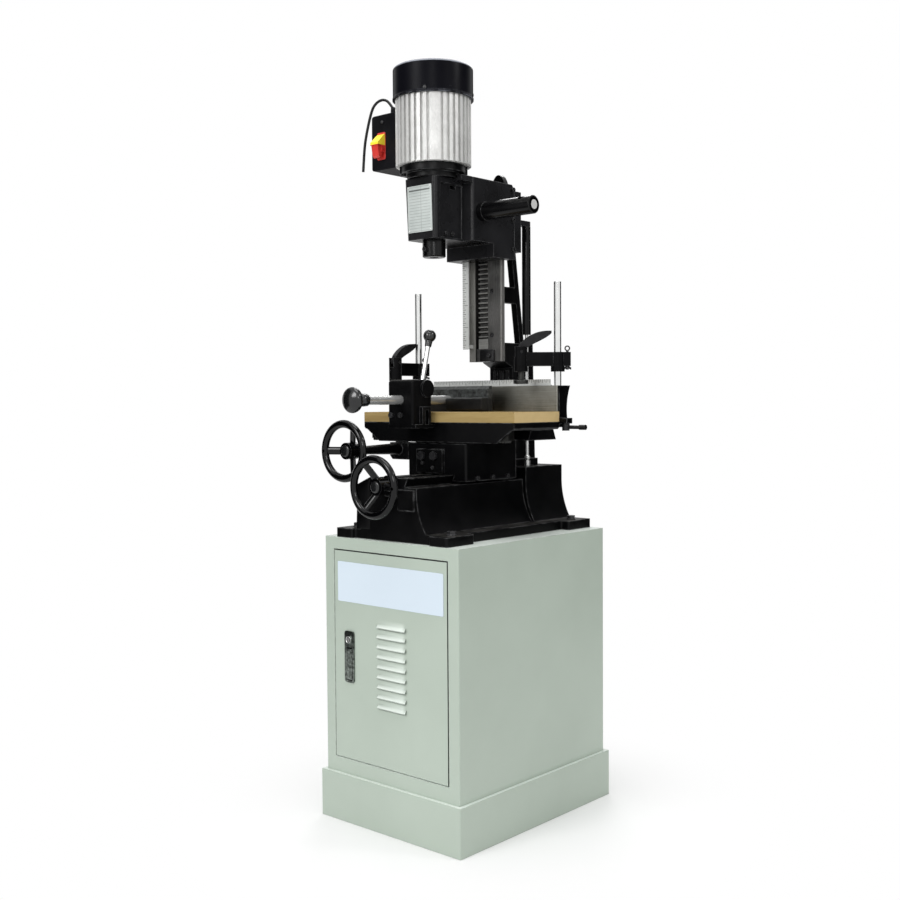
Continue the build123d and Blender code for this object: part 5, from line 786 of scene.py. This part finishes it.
# Painted shade on the lower half of the vise jaw.
blend_along(jaw_iron, "Z", jaw_split + fade_above, jaw_split - fade_below, shade(12, 12, 13))
print("hood changes colour at", round(hood_split, 3), "and the jaw at", round(jaw_split, 3))

# %% [markdown]
# ## The wooden table top
# The top is a glued board with its grain along the table. Wood is bands of early and late growth
# with fine pores, so two noises stretched along X are laid over each other: wide bands and thin pores.
# The end that faces along +X is paler, partly as end grain and partly as painted light.

# %% Table top wood
early_wood = shade(138, 115, 68)
late_wood = shade(167, 144, 94)
pore_brown = shade(120, 96, 56)
end_grain_and_light = shade(214, 188, 136)
band_squeeze = (3.0, 46.0, 46.0)
pore_squeeze = (40.0, 1400.0, 1400.0)
pore_strength = 0.15
pore_depth = 0.0003
table_wood, tree, shader = start_material("table_wood", Specular_IOR_Level=0.3)
place = object_place(tree)
bands = noise(tree, squeezed(tree, place, band_squeeze), scale=1.0, Detail=4.0, Distortion=0.6)
growth = mix(tree, ramp(tree, bands, start=0.32, end=0.68), early_wood, late_wood)
pores = noise(tree, squeezed(tree, place, pore_squeeze), scale=1.0, Detail=2.0)
grain = mix(tree, ramp(tree, pores, start=0.6, end=0.72, high=0.5), growth, pore_brown)
facing = axes_of(tree, surface_normal(tree))
# The end facing +X is paler: end grain, with painted light.
board = mix(tree, ramp(tree, facing["X"], start=0.5, end=0.9, high=0.7), grain, end_grain_and_light)
sheen = ramp(tree, bands, start=0.0, end=1.0, low=0.42, high=0.62)
soft_edges = use(tree, wear_and_highlight_edges)["Rounded"]
open_pores = relief(tree, pores, soft_edges, pore_strength, pore_depth)
feed(tree, shader, Base_Color=board, Roughness=sheen, Normal=open_pores)
print("wood", table_wood.name)

# %% [markdown]
# ## Scales
# The depth scale stands beside the bar, and a rule stands on the fence. Both are pale sheet steel
# with black lines. The graduations group needs only a distance along the scale and a share across
# it, so one function makes both finishes.

# %% Engraved scale
def engraved_scale(name, along, along_from, across, across_from, across_to):
    """Pale steel with scale lines: the axes along and across it, and where they start and end."""
    finish, tree, shader = start_material(name, Specular_IOR_Level=0.4)
    axes = axes_of(tree, object_place(tree))
    run = reckon(tree, "SUBTRACT", axes[along], along_from)
    part = ramp(tree, axes[across], across_from, across_to)
    lines = use(tree, graduations, Along=run, Across=part)["Mask"]
    tone = use(tree, paint_skin, Drift=22.0)["Tone"]
    pale = mix(tree, tone, shade(188, 190, 188), shade(206, 208, 206))
    marked = mix(tree, lines, pale, shade(36, 36, 36))
    gloss = ramp(tree, tone, start=0.0, end=1.0, low=0.3, high=0.45)
    feed(tree, shader, Base_Color=marked, Roughness=gloss)
    return finish


scale_low, scale_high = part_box("depth_scale")
depth_scale_face = engraved_scale(
    "depth_scale_face", "Z", scale_low[2], across="X", across_from=scale_low[0], across_to=scale_high[0],
)
print("depth scale", round(scale_high[2] - scale_low[2], 3), "long")

# %% [markdown]
# ## Dressing the solids
# Each solid takes one finish. The list is written the way a painter would sort the parts on a
# bench: what goes together is in one row, and every solid is in exactly one row.

# %% Dress the solids
bench = [
    (cabinet_coat, ["cabinet_shell", "cabinet_plinth"]),
    (door_coat, ["cabinet_door"]),
    (cast_enamel, ["base_casting", "saddle", "pinion_bracket", "table_casting", "fence_casting"]),
    (cast_enamel, ["column", "screw_bearing", "motor_flange"]),
    (head_enamel, ["head_casting", "slide_keepers", "spindle_block"]),
    (arm_enamel, ["vise_bracket", "left_clamp_arm", "right_clamp_arm"]),
    (wheel_enamel, ["cross_handwheel", "table_handwheel"]),
    (hub_black, ["feed_hub", "chisel_bush"]),
    (black_oxide, ["fence_lock_lever"]),
    (lever_black, ["left_clamp_lever", "right_clamp_lever"]),
    (tube_black, ["strut_tube"]),
    (cover_black, ["fan_cover"]),
    (jaw_iron, ["vise_jaw"]),
    (black_bolts, ["frame_bolts", "saddle_screws", "table_screws", "head_screws"]),
    (knob_resin, ["vise_knob", "vise_lever_ball"]),
    (box_plastic, ["switch_box", "cord_gland"]),
    (yellow_plastic, ["switch_bezel"]),
    (red_plastic, ["switch_paddle"]),
    (cord_rubber, ["power_cord"]),
    (chrome, ["hold_down_rods", "vise_lever"]),
    (rod_chrome, ["vise_rod", "strut_rod"]),
    (turned_steel, ["feed_shaft"]),
    (rack_steel, ["feed_rack", "idler_gear", "motor_rotor", "cross_screw"]),
    (dark_steel, ["table_rack", "table_pinion", "saddle_gib"]),
    (dark_steel, ["left_clamp_foot", "right_clamp_foot"]),
    (lock_chrome, ["lock_plate", "latch_handle"]),
    (bronze, ["cross_nut"]),
    (cast_aluminium, ["motor_body"]),
    (ground_bar, ["dovetail_bar"]),
    (fence_plate, ["fence_face"]),
    (table_wood, ["table_top"]),
    (depth_scale_face, ["depth_scale"]),
]
for finish, names in bench:
    for name in names:
        solids[name].data.materials.clear()
        solids[name].data.materials.append(finish)
print("dressed", sum(len(names) for finish, names in bench), "of", len(solids))

# %% [markdown]
# ## Helpers for modelling
# A new piece starts as a primitive at its size and place. Its place is then written into its mesh,
# so that the object itself stays at the origin, as the solids do, and patterns don't slide.

# %% Starting a piece
FRONT = (0, -1, 0)
UP = (0, 0, 1)
RIGHT = (1, 0, 0)


def choose(piece):
    """Make a piece the only selected one."""
    clear_selection()
    bpy.context.view_layer.objects.active = piece
    piece.select_set(True)


def settle():
    """Write the place, turn and scale of what is selected into its mesh."""
    bpy.ops.object.transform_apply(location=True, rotation=True, scale=True)


def start_block(name, low, high):
    """A cube that fills the space between two corners."""
    clear_selection()
    centre = [(a + b) / 2 for a, b in zip(low, high)]
    bpy.ops.mesh.primitive_cube_add(size=1, location=centre)
    piece = bpy.context.object
    piece.name = name
    piece.scale = [b - a for a, b in zip(low, high)]
    settle()
    return piece


def start_round(name, foot, direction, radius, length, sides=32):
    """A cylinder from a point along a direction."""
    clear_selection()
    way = Vector(direction).normalized()
    bpy.ops.mesh.primitive_cylinder_add(vertices=sides, radius=radius, depth=length)
    piece = bpy.context.object
    piece.name = name
    turn = way.to_track_quat("Z", "Y").to_matrix().to_4x4()
    piece.matrix_world = Matrix.Translation(Vector(foot) + way * length / 2) @ turn
    settle()
    return piece


print("pieces can be started")

# %% [markdown]
# Faces and edges are picked by where they are and which way they look, as a hand would click on
# them. An operator then shapes what is picked: inset, extrude, bevel or move. A last bevel with an
# angle limit softens all the sharp edges that are left.

# %% Shaping a piece
SQUARE_ON = 0.9
LEAST_DEPTH = 0.0005


def open_piece(piece, kind):
    """Choose a piece and leave none of its faces or edges selected."""
    choose(piece)
    bpy.ops.object.mode_set(mode="EDIT")
    bpy.ops.mesh.select_mode(type=kind)
    bpy.ops.mesh.select_all(action="DESELECT")
    bpy.ops.object.mode_set(mode="OBJECT")


def pick_faces(piece, way, test=None):
    """Edit a piece with the faces selected that look one way and whose centre passes a test."""
    open_piece(piece, "FACE")
    for face in piece.data.polygons:
        face.select = face.normal.dot(Vector(way)) > SQUARE_ON and (test is None or test(face.center))
    bpy.ops.object.mode_set(mode="EDIT")


def pick_edges(piece, test):
    """Edit a piece with the edges selected whose two ends pass a test."""
    open_piece(piece, "EDGE")
    for edge in piece.data.edges:
        first, second = [piece.data.vertices[i].co for i in edge.vertices]
        edge.select = test(first, second)
    bpy.ops.object.mode_set(mode="EDIT")


def extrude(move):
    """Draw the picked faces out, or sink them, by a move."""
    bpy.ops.mesh.extrude_region_move(TRANSFORM_OT_translate={"value": move})


def round_corners(piece, radius, segments):
    """Round the corners of an upright plate: its edges that run from front to back."""
    pick_edges(piece, lambda a, b: abs(a.y - b.y) > LEAST_DEPTH)
    bpy.ops.mesh.bevel(offset=radius, segments=segments, affect="EDGES")


def soften(piece, width, segments=2, angle=40):
    """Round the sharp edges of a whole piece with an applied bevel."""
    choose(piece)
    bevel = piece.modifiers.new("soft_edges", "BEVEL")
    bevel.width = width
    bevel.segments = segments
    bevel.limit_method = "ANGLE"
    bevel.angle_limit = math.radians(angle)
    bpy.ops.object.modifier_apply(modifier=bevel.name)


print("pieces can be shaped")

# %% [markdown]
# Finishing merges doubles, turns the normals out, smooths what is nearly flat, and fastens the piece
# to the body that carries it. What repeats is made once and copied, each copy with its own mesh.

# %% Finishing a piece
MERGE_DISTANCE = 0.00001
SMOOTH_BELOW = 35


def fasten(piece, body, finish):
    """Close the mesh, give it its finish and fix it to the body that carries it."""
    choose(piece)
    bpy.ops.object.mode_set(mode="EDIT")
    bpy.ops.mesh.select_all(action="SELECT")
    bpy.ops.mesh.remove_doubles(threshold=MERGE_DISTANCE)
    bpy.ops.mesh.normals_make_consistent(inside=False)
    choose(piece)
    bpy.ops.object.shade_smooth_by_angle(angle=math.radians(SMOOTH_BELOW))
    piece.data.materials.clear()
    piece.data.materials.append(finish)
    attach(piece, body)
    print(piece.name, "faces", len(piece.data.polygons))


def copy_piece(piece, name, move):
    """A copy with its own mesh, moved by a matrix."""
    clear_selection()
    made = piece.copy()
    made.data = piece.data.copy()
    made.name = name
    bpy.context.scene.collection.objects.link(made)
    made.matrix_world = move
    choose(made)
    settle()
    return made


print("pieces can be fastened and copied")

# %% [markdown]
# ## The plate on the door
# A bare white plate is glued across the top of the door. It could be a patch of colour on the door,
# but a real sheet keeps its edge and its shadow when the door opens. A block gets rounded corners,
# and its face is inset and sunk a little, which leaves a thin rolled edge.

# %% Door plate
plate_white = coat(
    "plate_white", shade(214, 227, 238), shade(216, 229, 240), shade(240, 246, 250),
    rough=0.3, peel=700, bump=0.03, wear_and_highlight_share=0.0, drift=0.4, Specular_IOR_Level=0.3,
)
plate_sheet = 0.0012
plate_rim = 0.0012
plate_sink = 0.0002
plate_low = (-0.154, door_face - plate_sheet, 0.481)
plate_high = (0.155, door_face, 0.568)
door_plate = start_block("door_plate", plate_low, plate_high)
round_corners(door_plate, radius=0.003, segments=5)
pick_faces(door_plate, FRONT)
bpy.ops.mesh.inset(thickness=plate_rim)
bpy.ops.transform.translate(value=(0, plate_sink, 0))
soften(door_plate, width=0.0002)
fasten(door_plate, "door", plate_white)

# %% [markdown]
# ## The rating plate
# A thin metal plate is riveted to the sloping front of the spindle block. It carries only ruled
# lines and a bar for a heading, as a form has before anybody fills it in. Lines that thin are best
# left to the finish, where they cost no faces.

# %% Rating plate finish
plate_middle = Vector((0, -0.14797, 1.324))
plate_size = Vector((0.070, 0.0008, 0.0984))
row_pitch = 0.0062
row_line = 0.0006
row_reach = 0.030
row_faint = 0.45
heading_height = plate_middle.z + plate_size.z * 0.4
heading_half = 0.0016
divider_place = 0.004
divider_half = 0.0005
ink_share = 0.85
rating_lines, tree, shader = start_material("rating_lines", Specular_IOR_Level=0.4)
axes = axes_of(tree, object_place(tree))
between = reckon(tree, "PINGPONG", axes["Z"], row_pitch / 2)
rows = reckon(tree, "LESS_THAN", between, row_line)
divider = reckon(tree, "COMPARE", axes["X"], divider_place, divider_half)
faint = reckon(tree, "MULTIPLY", reckon(tree, "MAXIMUM", rows, divider), row_faint)
heading = reckon(tree, "COMPARE", axes["Z"], heading_height, heading_half)
printed = reckon(tree, "MAXIMUM", faint, heading)
inside = reckon(tree, "LESS_THAN", reckon(tree, "ABSOLUTE", axes["X"]), row_reach)
ruled = reckon(tree, "MULTIPLY", reckon(tree, "MULTIPLY", printed, inside), ink_share)
tone = use(tree, paint_skin, Drift=30.0)["Tone"]
pale = mix(tree, tone, shade(182, 189, 186), shade(196, 202, 199))
gloss = ramp(tree, tone, start=0.0, end=1.0, low=0.3, high=0.42)
feed(tree, shader, Base_Color=mix(tree, ruled, pale, shade(70, 74, 73)), Roughness=gloss)
print("rows every", row_pitch)

# %% [markdown]
# The plate itself is a thin block with rounded corners. It is made upright at the origin, where its
# corners are easy to pick, and then turned to lie on the slope.

# %% Rating plate
slope_depth = 0.004
slope_height = 0.130
block_slope = math.degrees(math.atan2(slope_depth, slope_height))
plate_gap = 0.0001
half_size = plate_size / 2
rating_plate = start_block("rating_plate", -half_size, half_size)
round_corners(rating_plate, radius=0.002, segments=4)
soften(rating_plate, width=0.00015)
plate_seat = plate_middle + Vector((0, -half_size.y - plate_gap, 0))
rating_plate.matrix_world = Matrix.Translation(plate_seat) @ turn_about("X", block_slope)
settle()
fasten(rating_plate, "head", rating_lines)
print("slope", round(block_slope, 2), "degrees")

# %% [markdown]
# Four small drive rivets hold the plate. One rivet is made from a cylinder whose front ring is
# pulled in to a dome, and then copied to the corners.

# %% Rivets
rivet_across = 0.0315
rivet_up = 0.0457
rivet_crown = 0.0004
rivet = start_round("rating_rivet", (0, 0, 0), FRONT, radius=0.0016, length=0.0012, sides=16)
pick_faces(rivet, FRONT)
bpy.ops.mesh.inset(thickness=0.0006)
bpy.ops.transform.translate(value=(0, -rivet_crown, 0))
corners = [(across, up) for up in (-rivet_up, rivet_up) for across in (-rivet_across, rivet_across)]
for number, (across, up) in enumerate(corners, start=1):
    seat = plate_middle + turn_about("X", block_slope) @ Vector((across, -plate_size.y, up))
    one = copy_piece(rivet, f"rating_rivet_{number}", Matrix.Translation(seat))
    fasten(one, "head", turned_steel)
bpy.data.objects.remove(rivet)

# %% [markdown]
# ## The rule on the fence
# A steel rule with a turned foot stands along the top of the fence, so that a stop can be set for
# the next mortise. It starts as a narrow strip. Its back is cut into small faces, and the lowest row
# of them is drawn out over the casting as the foot.

# %% Fence rule
rule_left = -0.145
rule_right = 0.197
rule_height = 0.0138
rule_sheet = 0.0014
rule_cuts = 7
foot_depth = 0.004
row_slack = 0.0002
rule_front = fence_high[1]
rule_bottom = fence_high[2]
rule_top = rule_bottom + rule_height
foot_top = rule_bottom + rule_height / (rule_cuts + 1) + row_slack
rule_low = (rule_left, rule_front, rule_bottom)
rule_high = (rule_right, rule_front + rule_sheet, rule_top)
fence_rule = start_block("fence_rule", rule_low, rule_high)
BACK = (0, 1, 0)
pick_faces(fence_rule, BACK)
bpy.ops.mesh.subdivide(number_cuts=rule_cuts)
pick_faces(fence_rule, BACK, lambda centre: centre.z < foot_top)
extrude((0, foot_depth, 0))
soften(fence_rule, width=0.0002, segments=1)
rule_face = engraved_scale(
    "rule_face", "X", rule_left, across="Z", across_from=rule_top, across_to=rule_bottom,
)
fasten(fence_rule, "table", rule_face)

# %% [markdown]
# ## The red back plate of the switch
# A red plate sits behind the yellow hood and shows above and below it. It is a thin block with
# rounded corners, pressed against the box.

# %% Switch plate
box_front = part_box("switch_box")[0][1]
switch_sheet = 0.002
switch_low = (-0.1455, box_front - switch_sheet, 1.4485)
switch_high = (-0.1205, box_front, 1.5085)
switch_plate = start_block("switch_plate", switch_low, switch_high)
round_corners(switch_plate, radius=0.004, segments=5)
soften(switch_plate, width=0.0005)
fasten(switch_plate, "head", red_plastic)

# %% [markdown]
# ## The stop block at the foot of the bar
# A block bolted to the foot of the bar ends the stroke of the head. It starts as a block on the
# front of the bar, and its corners are rounded as a mill leaves them.

# %% Stop block
stop_left = -0.012
stop_right = 0.028
stop_depth = 0.006
stop_height = 0.027
stop_front = bar_low[1] - stop_depth
stop_low = (stop_left, stop_front, bar_low[2])
stop_high = (stop_right, bar_low[1], bar_low[2] + stop_height)
stop_block = start_block("stop_block", stop_low, stop_high)
round_corners(stop_block, radius=0.002, segments=3)
soften(stop_block, width=0.0006)
fasten(stop_block, "frame", black_oxide)

# %% [markdown]
# A cap screw holds the block. Its head is a short cylinder, whose front is inset and sunk to make
# the socket for the key.

# %% Stop screw
screw_x = 0.016
head_radius = 0.0055
head_height = 0.004
socket_radius = 0.0028
socket_depth = head_height * 0.6
screw_seat = (screw_x, stop_front, bar_low[2] + stop_height / 2)
stop_screw = start_round("stop_screw", screw_seat, FRONT, head_radius, head_height, sides=24)
pick_faces(stop_screw, FRONT)
bpy.ops.mesh.inset(thickness=head_radius - socket_radius)
extrude((0, socket_depth, 0))
soften(stop_screw, width=head_radius * 0.1)
fasten(stop_screw, "frame", black_bolts)

# %% [markdown]
# ## The apron behind the lower handwheel
# Through the left of the lower handwheel the photograph shows black iron, so the front wall of the
# base reaches farther to the left than its body. The apron starts as a block. Its foot is drawn out
# in a flare, its top is sloped to stay below the upper handwheel, and its edges are rounded.

# %% Apron
apron_left = -0.106
apron_right = -0.066
apron_front = -0.2405
apron_back = -0.2285
apron_foot = 0.640
apron_top = 0.737
apron_flare = 0.004
apron_slope = 0.017
pick_slack = 0.001


def left_foot(a, b):
    """The lower edge of the left side."""
    return max(a.x, b.x) < apron_left + pick_slack and max(a.z, b.z) < apron_foot + pick_slack


def right_top(a, b):
    """The upper edge of the right side."""
    return min(a.x, b.x) > apron_right - pick_slack and min(a.z, b.z) > apron_top - pick_slack


apron_low = (apron_left, apron_front, apron_foot)
apron_high = (apron_right, apron_back, apron_top)
base_apron = start_block("base_apron", apron_low, apron_high)
pick_edges(base_apron, left_foot)
bpy.ops.transform.translate(value=(-apron_flare, 0, 0))
pick_edges(base_apron, right_top)
bpy.ops.transform.translate(value=(0, 0, apron_slope))
soften(base_apron, width=0.003, segments=3)
fasten(base_apron, "frame", cast_enamel)

# %% [markdown]
# ## Thumb screws on the clamps
# Behind each rod the arm is split, and a screw with an eye on top and a wing nut below pulls the
# split together. The shank is a cylinder that is drawn in to a neck, and the eye is a ring on top.
# Heights here count from the underside of the arm.

# %% Thumb screw
arm_height = 0.030
shank_radius = 0.003
shank_top = arm_height + 0.002
shank_drop = 0.008
neck_step = 0.001
neck_rise = 0.002
eye_middle = shank_top + 0.0062
eye_radius = 0.0048
eye_wire = 0.0015
eye_turn = 42
shank_length = shank_top + shank_drop
thumb_screw = start_round("thumb_screw", (0, 0, -shank_drop), UP, shank_radius, shank_length, sides=20)
pick_faces(thumb_screw, UP)
bpy.ops.mesh.inset(thickness=neck_step)
extrude((0, 0, neck_rise))
clear_selection()
bpy.ops.mesh.primitive_torus_add(
    location=(0, 0, eye_middle), rotation=(math.radians(90), 0, math.radians(eye_turn)),
    major_radius=eye_radius, minor_radius=eye_wire, major_segments=28, minor_segments=10,
)
settle()
thumb_screw.select_set(True)
bpy.context.view_layer.objects.active = thumb_screw
bpy.ops.object.join()
print("thumb screw", round(eye_middle + eye_radius + shank_drop, 4), "long")

# %% [markdown]
# The nut has eight sides, and its wings are two opposite sides, inset and drawn out one by one, and
# then pulled down. A side of an eight-sided cylinder looks along an eighth of a half turn.

# %% Wing nut
nut_radius = 0.0052
nut_height = 0.006
nut_sides = 8
wing_step = 0.0006
wing_reach = 0.007
wing_drop = 0.0025
side_turn = math.pi / nut_sides
wing_way = Vector((math.cos(side_turn), math.sin(side_turn), 0))
wing_nut = start_round("wing_nut", (0, 0, -nut_height), UP, nut_radius, nut_height, sides=nut_sides)
open_piece(wing_nut, "FACE")
for side in wing_nut.data.polygons:
    side.select = abs(side.normal.dot(wing_way)) > SQUARE_ON
bpy.ops.object.mode_set(mode="EDIT")
bpy.ops.mesh.inset(thickness=wing_step, use_individual=True)
bpy.ops.mesh.extrude_faces_move(TRANSFORM_OT_shrink_fatten={"value": wing_reach})
bpy.ops.transform.translate(value=(0, 0, -wing_drop))
soften(wing_nut, width=0.0005)
print("wing nut", [round(size, 4) for size in wing_nut.dimensions])

# %% [markdown]
# Both clamps get a copy of the screw and of the nut. They stand behind the rod, on the line of the
# arm, and the wings are turned so that they clear the boss of the arm.

# %% Screws and nuts on the clamps
rod_x = 0.206
rod_y = 0.064
lug_reach = 0.021
nut_gap = 0.0002
wing_turn = 97.5
clamps = [("left", -rod_x, 270, 0.974), ("right", rod_x, 225, 0.988)]
for side, clamp_x, arm_turn, arm_foot in clamps:
    lug_x = clamp_x - lug_reach * math.cos(math.radians(arm_turn))
    lug_y = rod_y - lug_reach * math.sin(math.radians(arm_turn))
    screw_move = Matrix.Translation((lug_x, lug_y, arm_foot))
    screw = copy_piece(thumb_screw, f"{side}_thumb_screw", screw_move)
    fasten(screw, f"{side}_clamp", black_bolts)
    nut_move = Matrix.Translation((lug_x, lug_y, arm_foot - nut_gap)) @ turn_about("Z", arm_turn + wing_turn)
    nut = copy_piece(wing_nut, f"{side}_wing_nut", nut_move)
    fasten(nut, f"{side}_clamp", black_bolts)
bpy.data.objects.remove(thumb_screw)
bpy.data.objects.remove(wing_nut)

# %% [markdown]
# ## Caps on the handwheel hubs
# Each handwheel is held by a screw under a small domed cap. The cap is a disc whose front is inset
# twice and pulled forward, which gives it a rounded crown. One is made and copied to both hubs.

# %% Hub caps
cap_radius = 0.0125
cap_wall = 0.0018
cap_step = cap_radius * 0.18
cap_inner_step = cap_radius * 0.3
cap_shoulder = 0.0010
cap_crown = 0.0006
cross_hub = (0, -0.2891, 0.737)
table_hub = (-0.116, -0.2631, 0.808)
cap = start_round("wheel_cap", (0, 0, 0), FRONT, cap_radius, cap_wall, sides=40)
pick_faces(cap, FRONT)
bpy.ops.mesh.inset(thickness=cap_step)
bpy.ops.transform.translate(value=(0, -cap_shoulder, 0))
bpy.ops.mesh.inset(thickness=cap_inner_step)
bpy.ops.transform.translate(value=(0, -cap_crown, 0))
soften(cap, width=0.0004, angle=20)
for wheel, hub in (("cross_wheel", cross_hub), ("table_wheel", table_hub)):
    one = copy_piece(cap, f"{wheel}_cap", Matrix.Translation(hub))
    fasten(one, wheel, knob_resin)
bpy.data.objects.remove(cap)

# %% [markdown]
# ## Screws round the fan cover
# The sheet cover is held to the motor by four small screws through its skirt, and one more closes
# the switch box above the hood. One pan head is made, with a recess for the driver, and copied.

# %% Pan head
pan_step = 0.001
pan_crown = 0.0005
recess_step = 0.0012
recess_depth = 0.0012
pan_head = start_round("cover_screw", (0, 0, 0), RIGHT, radius=0.0034, length=0.0018, sides=24)
pick_faces(pan_head, RIGHT)
bpy.ops.mesh.inset(thickness=pan_step)
bpy.ops.transform.translate(value=(pan_crown, 0, 0))
bpy.ops.mesh.inset(thickness=recess_step)
extrude((-recess_depth, 0, 0))
clear_selection()
print("pan head", [round(size, 4) for size in pan_head.dimensions])

# %% Cover screws
first_turn = -59
screw_count = 4
seat_sunk = 0.0013
skirt_height = 0.008
motor_x = (cover_low[0] + cover_high[0]) / 2
motor_y = (cover_low[1] + cover_high[1]) / 2
seat_radius = (cover_high[0] - cover_low[0]) / 2 - seat_sunk
skirt_line = Matrix.Translation((motor_x, motor_y, cover_low[2] + skirt_height))
for number in range(screw_count):
    around = turn_about("Z", first_turn + number * 360 / screw_count)
    move = skirt_line @ around @ Matrix.Translation((seat_radius, 0, 0))
    one = copy_piece(pan_head, f"cover_screw_{number + 1}", move)
    fasten(one, "head", black_bolts)
box_screw_seat = Matrix.Translation((-0.131, box_front, 1.531)) @ turn_about("Z", -90)
fasten(copy_piece(pan_head, "box_screw", box_screw_seat), "head", black_bolts)
bpy.data.objects.remove(pan_head)

# %% [markdown]
# ## The key barrel in the lock
# Above the lift handle the lock has a round key barrel. The face of a disc is inset and sunk, which
# leaves a raised rim. A second inset is squeezed to the shape of the key slot and sunk again.

# %% Key barrel
lock_low, lock_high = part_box("lock_plate")
latch_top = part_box("latch_handle")[1][2]
barrel_sunk = 0.0005
barrel_rim = 0.0012
barrel_dish = 0.0008
slot_inset = 0.004
slot_squeeze = (0.35, 1, 1.5)
slot_depth = 0.001
barrel_x = (lock_low[0] + lock_high[0]) / 2
barrel_z = (latch_top + lock_high[2]) / 2
barrel_seat = (barrel_x, lock_low[1] + barrel_sunk, barrel_z)
key_barrel = start_round("key_barrel", barrel_seat, FRONT, radius=0.0075, length=0.0025, sides=36)
pick_faces(key_barrel, FRONT)
bpy.ops.mesh.inset(thickness=barrel_rim)
extrude((0, barrel_dish, 0))
bpy.ops.mesh.inset(thickness=slot_inset)
bpy.ops.transform.resize(value=slot_squeeze)
extrude((0, slot_depth, 0))
soften(key_barrel, width=0.0002, segments=1)
fasten(key_barrel, "door", chrome)

# %% [markdown]
# ## The power cord
# The lead leaves the gland on the switch box, arches over and hangs down at the left, where it ends
# bare. A row of straight tubes would look like bent wire, so it is one NURBS line with a round
# bevel, shaped by the points of its route.

# %% Power cord
cord_diameter = 0.006
cord_depth = -0.118
cord_route = [
    (-0.108570, 1.560311),
    (-0.1197, 1.5763),
    (-0.1387, 1.5843),
    (-0.1589, 1.5803),
    (-0.1742, 1.5663),
    (-0.1935, 1.509),
    (-0.1995, 1.474),
    (-0.2027, 1.433),
]
lead = bpy.data.curves.new("power_lead", "CURVE")
lead.dimensions = "3D"
lead.bevel_depth = cord_diameter / 2
lead.bevel_resolution = 6
lead.use_fill_caps = True
line = lead.splines.new("NURBS")
line.points.add(len(cord_route) - 1)
for point, (x, z) in zip(line.points, cord_route):
    point.co = (x, cord_depth, z, 1)
line.order_u = 3
line.use_endpoint_u = True
line.resolution_u = 16
power_lead = bpy.data.objects.new("power_lead", lead)
bpy.context.scene.collection.objects.link(power_lead)
lead.materials.append(cord_rubber)
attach(power_lead, "head")
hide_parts("power_cord")
print("cord points", len(cord_route))
